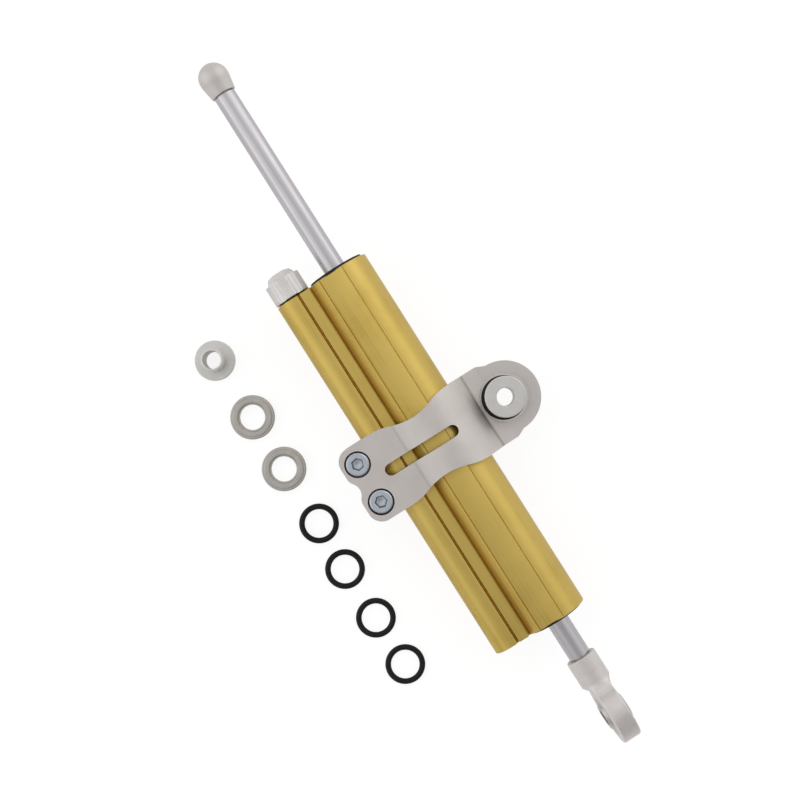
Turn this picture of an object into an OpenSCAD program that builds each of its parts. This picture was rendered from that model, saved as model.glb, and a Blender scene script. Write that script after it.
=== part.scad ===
// Through-rod steering damper for a motorcycle, with its frame clamp and its loose fitting kit.
// X runs along the rod from the end cap to the rod end, Y across towards the clamp's ear, Z up.
// The origin is the centre of the pivot bearing in the ear. All sizes are in millimetres.

/* [Cylinder] */
// Length of the extruded body
body_len = 144.5; // [125:0.5:180]
// Distance of the body's centre from the clamp's centre, towards the rod end
body_shift = 3.1; // [-10:0.1:10]
// Outer radius of the main tube
tube_r = 11.8; // [11.2:0.1:14]
// Radius of the main bore
bore_r = 9; // [8.2:0.1:9.5]
// Outer radius of the side tube
side_r = 6.6; // [6.2:0.1:8]
// Radius of the side tube's bore
side_bore_r = 4.5; // [4.2:0.1:4.8]
// Distance between the axes of the two tubes
side_offset = 18; // [17.5:0.1:21]
// Distance of the two long sunk flats from the main axis
flat_dist = 10.55; // [10.2:0.05:10.9]
// Width of the flats
flat_w = 9.9; // [6:0.1:10]
// Tilt of the long flats towards the side tube
flat_tilt = 12.3; // [0:0.1:16]
// Half the height of the rib between the tubes
rib_h = 6.2; // [5:0.1:6.4]
// Half the height of the web at the foot of the valley
web_h = 4; // [3:0.1:5]
// Distance of the V grooves from the side tube's axis
groove_off = 2.2; // [1:0.1:3]
// Width of the V grooves
groove_w = 1; // [0.6:0.1:1.8]
// Depth of the V grooves
groove_d = 1.2; // [0.4:0.1:1.3]
// Radius of the oil ports between the bores
port_r = 1.5; // [1:0.1:2]
// Distance of the ports from the ends of the oil chamber
port_inset = 3; // [2:0.1:5]

/* [Rod and piston] */
// Radius of the rod
rod_r = 4; // [3.5:0.1:4.5]
// Length of rod between the end cap and the rod end
rod_free = 235.6; // [220:0.1:260]
// How far the rod stands towards the end cap from mid stroke
rod_out = 28.9; // [0:0.1:32]
// Full stroke of the piston
stroke = 75; // [60:1:76]
// Radius of the threaded ends of the rod
rod_thread_r = 3; // [2.5:0.1:3.2]
// Length of the threaded ends of the rod
rod_thread_len = 9; // [6:0.5:9.5]
// Width of the undercut behind each thread
rod_undercut_w = 0.5; // [0.2:0.1:1]
// Length of the piston
piston_len = 15; // [10:0.5:20]
// Gap between the piston and the bore
piston_gap = 0.3; // [0.2:0.05:0.5]
// Width of the slide band on the piston
band_w = 6; // [3:0.5:7]
// Thickness of the slide band
band_t = 1.5; // [1:0.1:2]
// Thickness of the piston's circlips
circlip_t = 1; // [0.8:0.1:1.2]
// Outer radius of the circlips
circlip_r = 5.6; // [5:0.1:6]
// Depth of the circlip grooves in the rod
circlip_groove = 0.6; // [0.4:0.05:0.8]

/* [Glands] */
// Radius of the gland's flange
gland_flange_r = 10.3; // [9.8:0.1:10.5]
// Thickness of the flange on the gland at the cap's end
gland_flange_t = 0.8; // [0.5:0.1:2]
// Thickness of the flange on the gland at the eye's end
eye_flange_t = 0.5; // [0.4:0.1:2]
// Radius of the seat for bush, seal and wiper
gland_seat_r = 6.2; // [5.6:0.1:7]
// Length of the rod bush
bush_len = 10.5; // [6:0.5:12]
// Length of the rod seal
seal_len = 5; // [3:0.5:6]
// Depth of the wiper's seat
wiper_len = 4; // [3:0.5:5]
// Height of the wiper's lip above the flange
wiper_lip = 0.2; // [0.1:0.1:1.5]
// Section of the gland's O-rings
gland_ring_d = 1.5; // [1:0.1:2]
// Distance of the gland's O-ring from the body's end
gland_ring_at = 17; // [10:0.5:20]
// Radius of the spanner holes in the flange
spanner_r = 0.9; // [0.6:0.1:1]
// Depth of the spanner holes
spanner_depth = 2.5; // [1:0.1:4]
// Gap left between piston and gland at the end of the stroke
stop_gap = 0.3; // [0.2:0.1:1]

/* [Adjuster] */
// Radius of the knob
knob_r = 6.72; // [6:0.01:8]
// Length of the knob
knob_len = 10.1; // [8:0.1:14]
// Length of the knob's chamfer
knob_chamfer_len = 2.5; // [1:0.1:4]
// Radial depth of the knob's chamfer
knob_chamfer_r = 2.7; // [1:0.1:3.5]
// Number of finger scallops round the knob
knob_scallops = 6; // [4:1:8]
// Depth of the scallops
scallop_depth = 0.9; // [0.4:0.1:1.2]
// Radius of the cutter that makes the scallops
scallop_r = 2.1; // [1.5:0.1:3]
// Radius of the black flange under the knob
housing_flange_r = 5.15; // [4.9:0.05:6]
// Thickness of that flange
housing_flange_t = 0.4; // [0.3:0.1:1]
// Radius of the adjuster's stem
stem_r = 2; // [1.6:0.1:2.1]
// Depth of the stem's socket in the knob
stem_socket = 6.5; // [4:0.1:7]
// Radius of the rotary valve drum
drum_r = 3; // [2.6:0.1:3.2]
// Length of the drum before and past the port
drum_reach = 6; // [4:0.5:8]
// Radius of the passage in the drum
drum_bore_r = 1.6; // [1.2:0.1:1.8]
// Number of click positions
clicks = 7; // [3:1:7]
// Angle between two clicks
click_angle = 45; // [30:5:45]
// Radius of the smallest metering hole
meter_r = 0.3; // [0.2:0.05:0.4]
// Growth of the metering hole from click to click
meter_step = 0.08; // [0.02:0.01:0.1]
// Radius of the detent ball
detent_r = 0.7; // [0.5:0.05:0.75]
// Distance of the detent from the stem's axis
detent_at = 3.25; // [3:0.05:3.4]
// Depth of the detent's pocket
detent_depth = 6.5; // [5:0.1:8]
// Section of the small O-rings on stem, housing, plug and compensator
small_ring_d = 1; // [0.8:0.1:1.2]
// Radius of the knob's grub screw
grub_r = 1.25; // [1:0.05:1.5]

/* [Side plug and compensator] */
// Length of the side plug
plug_len = 8; // [6:0.5:10]
// Key width of the plug's socket
plug_hex = 4; // [3:0.5:5]
// Depth of the plug's socket
plug_hex_depth = 3.5; // [2:0.1:5]
// Length of the compensator piston
compensator_len = 6; // [5:0.5:8]
// Distance from the port to the compensator piston
compensator_at = 5; // [4:0.5:8]
// Turns of the compensator spring
spring_turns = 7; // [4:1:8]
// Radius of the compensator spring's wire
spring_wire_r = 0.45; // [0.3:0.05:0.5]

/* [Rod end] */
// Radius of the rod end's shank
shank_r = 5.6; // [5:0.1:6.5]
// Length of the shank's cylinder
shank_len = 10.2; // [9.6:0.1:14]
// Length of the sloped shoulder behind the shank
shoulder_len = 2.4; // [1:0.1:4]
// Thickness of the eye's blade
blade_t = 7; // [6:0.1:8]
// Fillet between neck and eye
neck_fillet = 3.5; // [2:0.5:6]
// Distance of the eye's centre from the shank's face
eye_dist = 23; // [22:0.1:32]
// Outer radius of the eye
eye_r = 11.2; // [8.6:0.1:12]
// Chamfer round the eye
eye_chamfer = 0.6; // [0.4:0.1:1.4]
// Outer radius of the eye's race
eye_race_r = 7.4; // [7:0.1:8]
// Radius of the ball in the eye
eye_ball_r = 6.35; // [6:0.05:6.6]
// Width of the ball in the eye
eye_ball_w = 9; // [8:0.1:10]
// Radius of the bolt hole in the ball
eye_bore_r = 3; // [2.5:0.1:3.5]
// Turn of the rod end about the rod as it lies
eye_roll = 5; // [0:1:90]

/* [End cap] */
// Length of the cap
cap_len = 12.3; // [10.5:0.1:18]
// Largest radius of the cap
cap_r = 5.55; // [5:0.05:7]
// Length of the straight belt between the cap's dome and its taper
cap_belt = 1; // [0.2:0.1:3]
// Radius of the cap at its foot
cap_foot_r = 4.6; // [4.5:0.1:5]

/* [Clamp] */
// Width of the clamp along the body
clamp_w = 28.8; // [26.5:0.1:36]
// Width at its waist
waist_w = 22.8; // [18:0.1:26]
// Radius of the waist's curves
waist_r = 22.9; // [15:0.1:25]
// Distance of the waist from the rod's axis, towards the screws
waist_at = 5; // [3:0.1:7]
// Thickness of the strap round the main tube
strap_t = 2.8; // [2:0.1:4]
// Slope at which the strap starts down to the screw tabs
tab_slope = 20; // [15:1:25]
// How far that slope would run on before it bends down
tab_bend = 5; // [4:0.1:6]
// Distance from the rod's axis to the crease at the tabs
tab_crease_at = 12.6; // [12:0.1:14]
// Half the height of the screw tabs
tab_h = 9.6; // [9:0.1:11]
// Distance of the tab's end from the rod's axis
tab_end = 35.8; // [35:0.1:40]
// Radius of the tab's two corners
tab_lobe_r = 5.2; // [4.5:0.1:7]
// Depth of the dip between the lobes
tab_dip = 1.9; // [0.5:0.1:2.5]
// Width of that dip
tab_dip_w = 10.6; // [7:0.1:11]
// Gap between the upper and the lower tab
split_gap = 2; // [1:0.1:3]
// Clearance between the clamp and the body
clamp_gap = 0.1; // [0.05:0.01:0.15]
// Width of the long slot in the strap
slot_w = 4.3; // [2:0.1:6]
// Start of the slot, measured from the rod's axis towards the screws
slot_from = 23.1; // [18:0.1:24]
// End of the slot, measured from the rod's axis towards the ear
slot_to = 6.4; // [4:0.1:8]
// Slope at which the strap starts down to the ear
ear_slope = 30; // [25:1:35]
// How far that slope would run on before it bends down
ear_bend = 6.5; // [5:0.1:8]
// Distance from the rod's axis to the crease where the bend ends
crease_at = 17; // [16:0.1:18]
// Half height of the crease
crease_h = 4.1; // [3.5:0.1:5]
// Half the thickness of the ear
ear_h = 3.2; // [2.5:0.1:3.8]
// Distance from the rod's axis to the ear's flat
ear_flat_at = 22.5; // [19:0.1:25]
// Distance from the rod's axis to the pivot
rod_to_pivot = 26.4; // [25:0.1:32]
// Radius of the ear
ear_r = 12.9; // [11:0.1:14]

/* [Clamp screws] */
// Distance between the two screws
screw_pitch = 15.34; // [14:0.02:17]
// Distance of the screws from the rod's axis
screw_at = 29.9; // [29:0.1:31]
// Radius of the screw's thread
screw_r = 2.5; // [2:0.1:2.6]
// Length of the screw under its head
screw_len = 12; // [9:0.5:13]
// Radius of the screw's head
screw_head_r = 4.25; // [3.5:0.05:4.4]
// Height of the screw's head
screw_head_h = 5; // [4:0.1:5.5]
// Radius of the counterbore for the head
screw_seat_r = 4.7; // [4.5:0.05:5]
// How far the head lies under the tab's face
screw_sink = 0.3; // [0:0.1:1]
// Key width of the socket
screw_hex = 4; // [3:0.1:4.5]
// Depth of the socket
screw_hex_depth = 2.6; // [1.5:0.1:3.5]

/* [Pivot] */
// Radius of the bolt hole through the spacer
pivot_bore_r = 3.2; // [2.5:0.1:3.5]
// Radius of the spacer's flange
spacer_flange_r = 7.3; // [6:0.1:9]
// Thickness of the spacer's flange
spacer_flange_t = 3; // [2:0.1:4]
// Radius of the spacer's boss
spacer_boss_r = 4; // [3.8:0.1:4.6]
// Length of the whole spacer
spacer_len = 12; // [9:0.1:13]
// Outer radius of the bearing's race
race_r = 8.6; // [8:0.1:9.5]
// Radius of the bearing's ball
ball_r = 6.5; // [6.2:0.1:6.8]
// Width of the bearing's ball
ball_w = 8; // [7.4:0.1:8.6]
// Section of the seal ring under the flange
seal_d = 1.95; // [1.6:0.05:2.4]
// Radius of the seal ring at the middle of its section
seal_mid_r = 6.9; // [6.8:0.05:7.4]
// How far the loose seal ring lies off centre, towards the rod
seal_off = 0.5; // [0:0.05:0.5]
// Room between the seal ring and the flange for the bearing's tilt
tilt_room = 0.9; // [0.6:0.1:1.5]

/* [Fitting kit] */
// Place of the loose flanged spacer, from the clamp's centre and the rod's axis
kit_spacer_at = [-66.7, -54.3];
// Places of the loose spacer rings
kit_rings_at = [[-42.1, -53.8], [-20.2, -54.2]];
// Places of the loose O-rings
kit_seals_at = [[3.3, -54.1], [22.3, -55], [43.2, -55], [63.1, -55]];
// Outer radius of the spacer rings
kit_ring_r = 8.05; // [7:0.05:9]
// Radius of the hole in the spacer rings
kit_ring_bore_r = 4.6; // [4:0.1:5.5]
// Thickness of the spacer rings
kit_ring_t = 3; // [2:0.1:4]
// Depth of the step turned into the spacer rings
kit_step_d = 0.8; // [0.3:0.1:1.2]
// Outer radius of the loose O-rings
kit_seal_r = 7.25; // [6:0.05:9]
// Section of the loose O-rings
kit_seal_d = 2.1; // [1.5:0.1:2.5]

/* [Fits] */
// Radial clearance of seated pieces
seat_gap = 0.02; // [0.01:0.01:0.05]
// Radial clearance of running pieces
run_gap = 0.04; // [0.02:0.01:0.08]
// End clearance of pieces that turn or slide past a shoulder
end_gap = 0.15; // [0.1:0.05:0.3]

/* [Hidden] */
$fn = 96;
eps = 0.5;

gold = [0.80, 0.66, 0.30];
black = [0.10, 0.10, 0.11];
silver = [0.78, 0.77, 0.76];
chrome = [0.82, 0.81, 0.85];
grey = [0.70, 0.68, 0.66];
zinc = [0.66, 0.71, 0.78];
bronze = [0.66, 0.50, 0.30];

// Axes and ends of the body
rod_y = -rod_to_pivot;
side_y = rod_y - side_offset;
body_x = body_shift;
cap_end_x = body_x - body_len / 2;
eye_end_x = body_x + body_len / 2;
strap_r = tube_r + strap_t;
table_z = -strap_r;

// Rod, piston and oil chamber
rod_x = body_x - rod_out;
cap_x = rod_x - rod_free / 2;
shank_x = rod_x + rod_free / 2;
chamber_half = (stroke + piston_len) / 2 + stop_gap;
gland_len = body_len / 2 - chamber_half;
port_x = chamber_half - port_inset;
piston_r = bore_r - piston_gap;
neck_h = 0.98 * sqrt(shank_r * shank_r - blade_t * blade_t / 4);

// Adjuster and compensator, along the side tube
knob_x = cap_end_x - housing_flange_t - end_gap;
valve_x = body_x - port_x;
housing_end = valve_x + drum_reach;
shoulder_x = valve_x - drum_reach;
compensator_x = body_x + port_x + compensator_at;
plug_x = eye_end_x - plug_len;
spring_len = plug_x - compensator_x - compensator_len;

// Pivot
flange_z = ear_h + seal_d + tilt_room;
spot_r = max(race_r, seal_mid_r + seal_d / 2 + seal_off) + 2 * end_gap;

// Places a child with its Z axis along +X, at x along the body
module along(x, y = rod_y) {
    translate([x, y, 0]) rotate([0, 90, 0]) children();
}

// Extrudes a section drawn in Y and Z along the body
module lengthwise(x, len) {
    translate([x, rod_y, 0]) rotate([90, 0, 90]) linear_extrude(len) children();
}

// Places a child at one end of the body with its Z axis pointing out of the body
module at_end(side, y = rod_y) {
    translate([body_x, y, 0]) rotate([0, side * 90, 0]) translate([0, 0, body_len / 2]) children();
}

module ring(r_out, r_in, h) {
    difference() {
        cylinder(h = h, r = r_out);
        translate([0, 0, -eps]) cylinder(h = h + 2 * eps, r = r_in);
    }
}

module o_ring(mid_r, d) {
    rotate_extrude() translate([mid_r, 0]) circle(d = d);
}

module hexagon(key_width, h) {
    cylinder(h = h, d = key_width / cos(30), $fn = 6);
}

// Groove round a shaft for an O-ring that stands flush with radius r
module ring_groove(r, d) {
    translate([0, 0, -0.6 * d]) ring(r + eps, r - d - seat_gap, 1.2 * d);
}

// Wire wound on a helix of one unbroken tube, from z = 0 to z = len
function coil_point(t, turns, mid_r, wire_r, len) = [
    mid_r * cos(360 * turns * t), mid_r * sin(360 * turns * t), wire_r + (len - 2 * wire_r) * t
];
function coil_ring(t, turns, mid_r, wire_r, len, sides) = let (
    out = [cos(360 * turns * t), sin(360 * turns * t), 0],
    rise = (len - 2 * wire_r) / (2 * PI * turns * mid_r),
    up = [rise * sin(360 * turns * t), -rise * cos(360 * turns * t), 1] / norm([rise, 1])
) [
    for (k = [0 : sides - 1]) coil_point(t, turns, mid_r, wire_r, len)
        + wire_r * (cos(360 * k / sides) * out + sin(360 * k / sides) * up)
];
module coil(turns, mid_r, wire_r, len, sides = 6, rings_per_turn = 12) {
    rings = turns * rings_per_turn;
    echo(str("least gap between turns: ", (len - 2 * wire_r) / turns - 2 * wire_r));
    points = [
        for (i = [0 : rings]) each coil_ring(i / rings, turns, mid_r, wire_r, len, sides)
    ];
    skin = [
        for (i = [0 : rings - 1], k = [0 : sides - 1]) let (
            a = i * sides + k,
            b = i * sides + (k + 1) % sides
        ) each [[a, b, a + sides], [b, b + sides, a + sides]]
    ];
    foot = [for (k = [1 : sides - 2]) [0, k + 1, k]];
    top = [for (k = [1 : sides - 2]) [rings * sides, rings * sides + k, rings * sides + k + 1]];
    polyhedron(points = points, faces = concat(skin, foot, top));
}

// Section of the extruded body
module long_flat() {
    rotate(flat_tilt) translate([-flat_w / 2, flat_dist]) square([flat_w, tube_r]);
}
module v_groove() {
    translate([groove_off - side_offset, rib_h]) polygon([
        [-groove_w / 2, 0], [0, -groove_d], [groove_w / 2, 0], [groove_w / 2, eps], [-groove_w / 2, eps]
    ]);
}
module both_faces() {
    children();
    mirror([0, 1]) children();
}
module body_section() {
    difference() {
        union() {
            circle(tube_r);
            translate([-side_offset, 0]) circle(side_r);
            translate([-side_offset, -rib_h]) square([side_offset - tube_r, 2 * rib_h]);
            translate([-side_offset, -web_h]) square([side_offset, 2 * web_h]);
        }
        both_faces() long_flat();
        both_faces() v_groove();
    }
}

module cylinder_body() {
    color(gold) difference() {
        lengthwise(cap_end_x, body_len) body_section();
        along(cap_end_x - eps) cylinder(h = body_len + 2 * eps, r = bore_r);
        along(cap_end_x - eps, side_y) cylinder(h = body_len + 2 * eps, r = side_bore_r);
        for (side = [-1, 1])
            translate([body_x + side * port_x, rod_y, 0]) rotate([90, 0, 0])
                cylinder(h = side_offset, r = port_r);
    }
}

// Glands and what seals the rod in them
module gland(flange_t) {
    difference() {
        union() {
            cylinder(h = flange_t, r = gland_flange_r);
            translate([0, 0, -gland_len]) cylinder(h = gland_len + flange_t / 2, r = bore_r - seat_gap);
        }
        translate([0, 0, -gland_len - eps])
            cylinder(h = gland_len + 2 * eps + flange_t, r = rod_r + piston_gap);
        translate([0, 0, -gland_len - eps]) cylinder(h = bush_len + seal_len + eps, r = gland_seat_r);
        translate([0, 0, -wiper_len]) cylinder(h = wiper_len + flange_t + eps, r = gland_seat_r);
        translate([0, 0, -gland_ring_at]) ring_groove(bore_r, gland_ring_d);
        for (side = [-1, 1])
            translate([0, side * (gland_seat_r + bore_r) / 2, flange_t - spanner_depth])
                cylinder(h = spanner_depth + eps, r = spanner_r);
    }
}
module cap_end_gland() {
    color(black) at_end(-1) gland(gland_flange_t);
}
module eye_end_gland() {
    color(black) at_end(1) gland(eye_flange_t);
}
module gland_o_rings() {
    color(black) for (side = [-1, 1])
        at_end(side) translate([0, 0, -gland_ring_at])
            o_ring(bore_r - seat_gap - gland_ring_d / 2, gland_ring_d - seat_gap);
}
module rod_bushes() {
    color(bronze) for (side = [-1, 1])
        at_end(side) translate([0, 0, -gland_len]) ring(gland_seat_r - seat_gap, rod_r + run_gap, bush_len);
}
module rod_seals() {
    lip = 0.8;
    color(black) for (side = [-1, 1])
        at_end(side) translate([0, 0, bush_len - gland_len]) rotate_extrude() polygon([
            [rod_r + run_gap, 0],
            [rod_r + lip, 0],
            [(rod_r + gland_seat_r) / 2, seal_len / 2],
            [gland_seat_r - lip, 0],
            [gland_seat_r - seat_gap, 0],
            [gland_seat_r - seat_gap, seal_len],
            [rod_r + run_gap, seal_len]
        ]);
}
module rod_wipers() {
    back = 1;
    color(black) for (side = [-1, 1]) let (face = side < 0 ? gland_flange_t : eye_flange_t)
        at_end(side) rotate_extrude() polygon([
            [rod_r + back, -wiper_len],
            [gland_seat_r - seat_gap, -wiper_len],
            [gland_seat_r - seat_gap, face],
            [rod_r + back, face],
            [rod_r + run_gap, face + wiper_lip],
            [rod_r + run_gap, 0],
            [rod_r + back, -back]
        ]);
}

// Adjuster in the side tube
module adjuster_housing() {
    window_len = side_bore_r + eps;
    color(black) difference() {
        union() {
            along(cap_end_x - housing_flange_t, side_y) cylinder(h = housing_flange_t, r = housing_flange_r);
            along(cap_end_x - housing_flange_t / 2, side_y)
                cylinder(h = housing_end - cap_end_x + housing_flange_t / 2, r = side_bore_r - seat_gap);
        }
        along(cap_end_x - housing_flange_t - eps, side_y)
            cylinder(h = housing_end - cap_end_x + 2 * eps, r = stem_r + run_gap);
        along(shoulder_x, side_y) cylinder(h = housing_end - shoulder_x + eps, r = drum_r + run_gap);
        translate([valve_x, side_y, 0]) rotate([-90, 0, 0]) cylinder(h = window_len, r = port_r);
        along(cap_end_x + detent_depth + 2 * small_ring_d, side_y) ring_groove(side_bore_r, small_ring_d);
        translate([cap_end_x - housing_flange_t - eps, side_y, detent_at]) rotate([0, 90, 0])
            cylinder(h = detent_depth + eps, r = detent_r + run_gap);
    }
}
module housing_o_ring() {
    color(black) along(cap_end_x + detent_depth + 2 * small_ring_d, side_y)
        o_ring(side_bore_r - seat_gap - small_ring_d / 2, small_ring_d - seat_gap);
}
module detent_ball() {
    color(silver) translate([cap_end_x - housing_flange_t + detent_r / 2, side_y, detent_at])
        sphere(detent_r);
}
module detent_spring() {
    ball_back = 1.5 * detent_r;
    wire_r = detent_r / 5;
    color(silver) translate([cap_end_x - housing_flange_t + ball_back, side_y, detent_at]) rotate([0, 90, 0])
        coil(5, detent_r - 1.3 * wire_r, wire_r, detent_depth - ball_back);
}
module stem_ring_place() {
    along((cap_end_x + shoulder_x) / 2, side_y) children();
}
module adjuster_stem() {
    stem_start = knob_x - stem_socket + end_gap;
    first_click = -click_angle * (clicks - 1) / 2;
    color(silver) difference() {
        union() {
            along(stem_start, side_y) cylinder(h = shoulder_x + 2 * end_gap - stem_start, r = stem_r);
            along(shoulder_x + end_gap, side_y) cylinder(h = housing_end - shoulder_x - end_gap, r = drum_r);
        }
        stem_ring_place() ring_groove(stem_r, small_ring_d);
        along(valve_x - 2 * drum_bore_r, side_y)
            cylinder(h = housing_end - valve_x + 3 * drum_bore_r, r = drum_bore_r);
        for (i = [0 : clicks - 1])
            translate([valve_x, side_y, 0]) rotate([first_click + i * click_angle, 0, 0]) rotate([-90, 0, 0])
                cylinder(h = drum_r + eps, r = meter_r + i * meter_step);
    }
}
module stem_o_ring() {
    color(black) stem_ring_place() o_ring(stem_r - small_ring_d / 2, small_ring_d - seat_gap);
}
module adjuster_knob() {
    groove_half = detent_r + end_gap;
    grub_z = stem_socket / 2;
    color(silver) translate([knob_x, side_y, 0]) rotate([0, -90, 0]) difference() {
        rotate_extrude() polygon([
            [0, 0],
            [knob_r, 0],
            [knob_r, knob_len - knob_chamfer_len],
            [knob_r - knob_chamfer_r, knob_len],
            [0, knob_len]
        ]);
        for (i = [0 : knob_scallops - 1])
            rotate((i + 0.5) * 360 / knob_scallops) translate([knob_r - scallop_depth + scallop_r, 0, -eps])
                cylinder(h = knob_len + 2 * eps, r = scallop_r);
        translate([0, 0, -eps]) cylinder(h = stem_socket + eps, r = stem_r + seat_gap);
        translate([0, 0, -eps]) ring(detent_at + groove_half, detent_at - groove_half, detent_r / 2 + eps);
        translate([0, 0, grub_z]) rotate([0, -90, 0]) cylinder(h = knob_r + eps, r = grub_r);
    }
}
module knob_grub_screw() {
    grub_len = knob_r - stem_r - scallop_depth;
    color(black) translate([knob_x - stem_socket / 2, side_y, -stem_r]) mirror([0, 0, 1]) difference() {
        cylinder(h = grub_len, r = grub_r - seat_gap);
        translate([0, 0, grub_len / 2]) hexagon(grub_r, grub_len);
    }
}

// Far end of the side tube: plug, spring and floating piston
module side_plug() {
    color(black) difference() {
        along(plug_x, side_y) cylinder(h = plug_len, r = side_bore_r - seat_gap);
        along(eye_end_x - plug_hex_depth, side_y) hexagon(plug_hex, plug_hex_depth + eps);
        along(plug_x + 2 * small_ring_d, side_y) ring_groove(side_bore_r, small_ring_d);
    }
}
module side_plug_o_ring() {
    color(black) along(plug_x + 2 * small_ring_d, side_y)
        o_ring(side_bore_r - seat_gap - small_ring_d / 2, small_ring_d - seat_gap);
}
module compensator_spring() {
    color(silver) along(compensator_x + compensator_len, side_y)
        coil(spring_turns, side_bore_r - 2.5 * spring_wire_r, spring_wire_r, spring_len);
}
module compensator_piston() {
    cup_r = side_bore_r - 2.5 * small_ring_d;
    color(silver) difference() {
        along(compensator_x, side_y) cylinder(h = compensator_len, r = side_bore_r - run_gap);
        along(compensator_x + compensator_len / 2, side_y) cylinder(h = compensator_len, r = cup_r);
        along(compensator_x + compensator_len / 3, side_y) ring_groove(side_bore_r - run_gap, small_ring_d);
    }
}
module compensator_o_ring() {
    color(black) along(compensator_x + compensator_len / 3, side_y)
        o_ring(side_bore_r - run_gap - small_ring_d / 2, small_ring_d - seat_gap);
}

// Piston and rod
module piston() {
    color(grey) difference() {
        along(rod_x - piston_len / 2) cylinder(h = piston_len, r = piston_r);
        along(rod_x - piston_len / 2 - eps) cylinder(h = piston_len + 2 * eps, r = rod_r + run_gap);
        along(rod_x - band_w / 2) ring(piston_r + eps, bore_r - band_t, band_w);
        for (side = [-1, 1]) along(rod_x + side * piston_len / 2)
            translate([0, 0, -circlip_t - 2 * end_gap])
                cylinder(h = 2 * circlip_t + 4 * end_gap, r = circlip_r + piston_gap);
    }
}
module piston_band() {
    color(bronze) along(rod_x - band_w / 2 + seat_gap)
        ring(bore_r - run_gap, bore_r - band_t + seat_gap, band_w - 2 * seat_gap);
}
module at_circlips() {
    for (side = [-1, 1])
        along(rod_x + side * (piston_len - circlip_t - 2 * end_gap) / 2)
            translate([0, 0, -circlip_t / 2]) children();
}
module piston_circlips() {
    open_w = rod_r;
    color(grey) at_circlips() difference() {
        ring(circlip_r, rod_r - circlip_groove + seat_gap, circlip_t);
        translate([0, -open_w / 2, -eps]) cube([circlip_r + eps, open_w, circlip_t + 2 * eps]);
    }
}
module piston_rod() {
    color(chrome) difference() {
        union() {
            along(cap_x) cylinder(h = rod_free, r = rod_r);
            along(cap_x - rod_thread_len) cylinder(h = rod_free + 2 * rod_thread_len, r = rod_thread_r);
        }
        at_circlips() translate([0, 0, -seat_gap])
            ring(rod_r + eps, rod_r - circlip_groove, circlip_t + 2 * seat_gap);
        along(cap_x - eps) ring(rod_r + eps, rod_thread_r, rod_undercut_w + eps);
        along(shank_x - rod_undercut_w) ring(rod_r + eps, rod_thread_r, rod_undercut_w + eps);
    }
}
module rod_cap() {
    dome_z = cap_len - cap_r;
    color(grey) translate([cap_x, rod_y, 0]) rotate([0, -90, 0]) difference() {
        rotate_extrude() intersection() {
            union() {
                polygon([[0, 0], [cap_foot_r, 0], [cap_r, dome_z - cap_belt], [cap_r, dome_z], [0, dome_z]]);
                translate([0, dome_z]) circle(cap_r);
            }
            square([cap_r, cap_len]);
        }
        translate([0, 0, -eps]) cylinder(h = rod_thread_len + end_gap + eps, r = rod_thread_r + seat_gap);
    }
}

// Rod end, drawn from the shank's face with its bolt hole along Y
module at_rod_end() {
    translate([shank_x, rod_y, 0]) rotate([-eye_roll, 0, 0]) children();
}
module at_eye() {
    at_rod_end() translate([eye_dist, 0, 0]) rotate([90, 0, 0]) children();
}
module neck_outline() {
    fillet_z = neck_h + neck_fillet;
    fillet_x = eye_dist - sqrt(pow(eye_r + neck_fillet, 2) - pow(fillet_z, 2));
    translate([shank_len / 2, -neck_h]) square([eye_dist - shank_len / 2, 2 * neck_h]);
    difference() {
        polygon([[fillet_x, -fillet_z], [fillet_x, fillet_z], [eye_dist, 0]]);
        for (side = [-1, 1]) translate([fillet_x, side * fillet_z]) circle(neck_fillet);
    }
}
module rod_end() {
    shank_chamfer = 0.6;
    neck_r = blade_t / 2;
    thread_depth = rod_thread_len + end_gap;
    color(grey) difference() {
        union() {
            at_rod_end() rotate([0, 90, 0]) rotate_extrude() polygon([
                [0, 0],
                [shank_r - shank_chamfer, 0],
                [shank_r, shank_chamfer],
                [shank_r, shank_len],
                [neck_r, shank_len + shoulder_len],
                [0, shank_len + shoulder_len]
            ]);
            intersection() {
                at_rod_end() rotate([90, 0, 0]) translate([0, 0, -blade_t / 2])
                    linear_extrude(blade_t) neck_outline();
                at_rod_end() translate([shank_len / 2, 0, 0]) rotate([0, 90, 0])
                    cylinder(h = eye_dist, r = eye_r);
            }
            at_eye() rotate_extrude() polygon([
                [0, -blade_t / 2],
                [eye_r - eye_chamfer, -blade_t / 2],
                [eye_r, eye_chamfer - blade_t / 2],
                [eye_r, blade_t / 2 - eye_chamfer],
                [eye_r - eye_chamfer, blade_t / 2],
                [0, blade_t / 2]
            ]);
        }
        at_eye() translate([0, 0, -blade_t]) cylinder(h = 2 * blade_t, r = eye_race_r);
        at_rod_end() rotate([0, 90, 0]) translate([0, 0, -eps])
            cylinder(h = thread_depth + eps, r = rod_thread_r + seat_gap);
    }
}
module race(r, width, inner_r) {
    difference() {
        translate([0, 0, -width / 2]) cylinder(h = width, r = r - seat_gap);
        sphere(inner_r + run_gap);
    }
}
module ball(r, width, hole_r) {
    difference() {
        intersection() {
            sphere(r);
            translate([0, 0, -width / 2]) cylinder(h = width, r = r + eps);
        }
        translate([0, 0, -width]) cylinder(h = 2 * width, r = hole_r);
    }
}
module eye_race() {
    color(silver) at_eye() race(eye_race_r, blade_t, eye_ball_r);
}
module eye_ball() {
    color(chrome) at_eye() ball(eye_ball_r, eye_ball_w, eye_bore_r);
}

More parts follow.
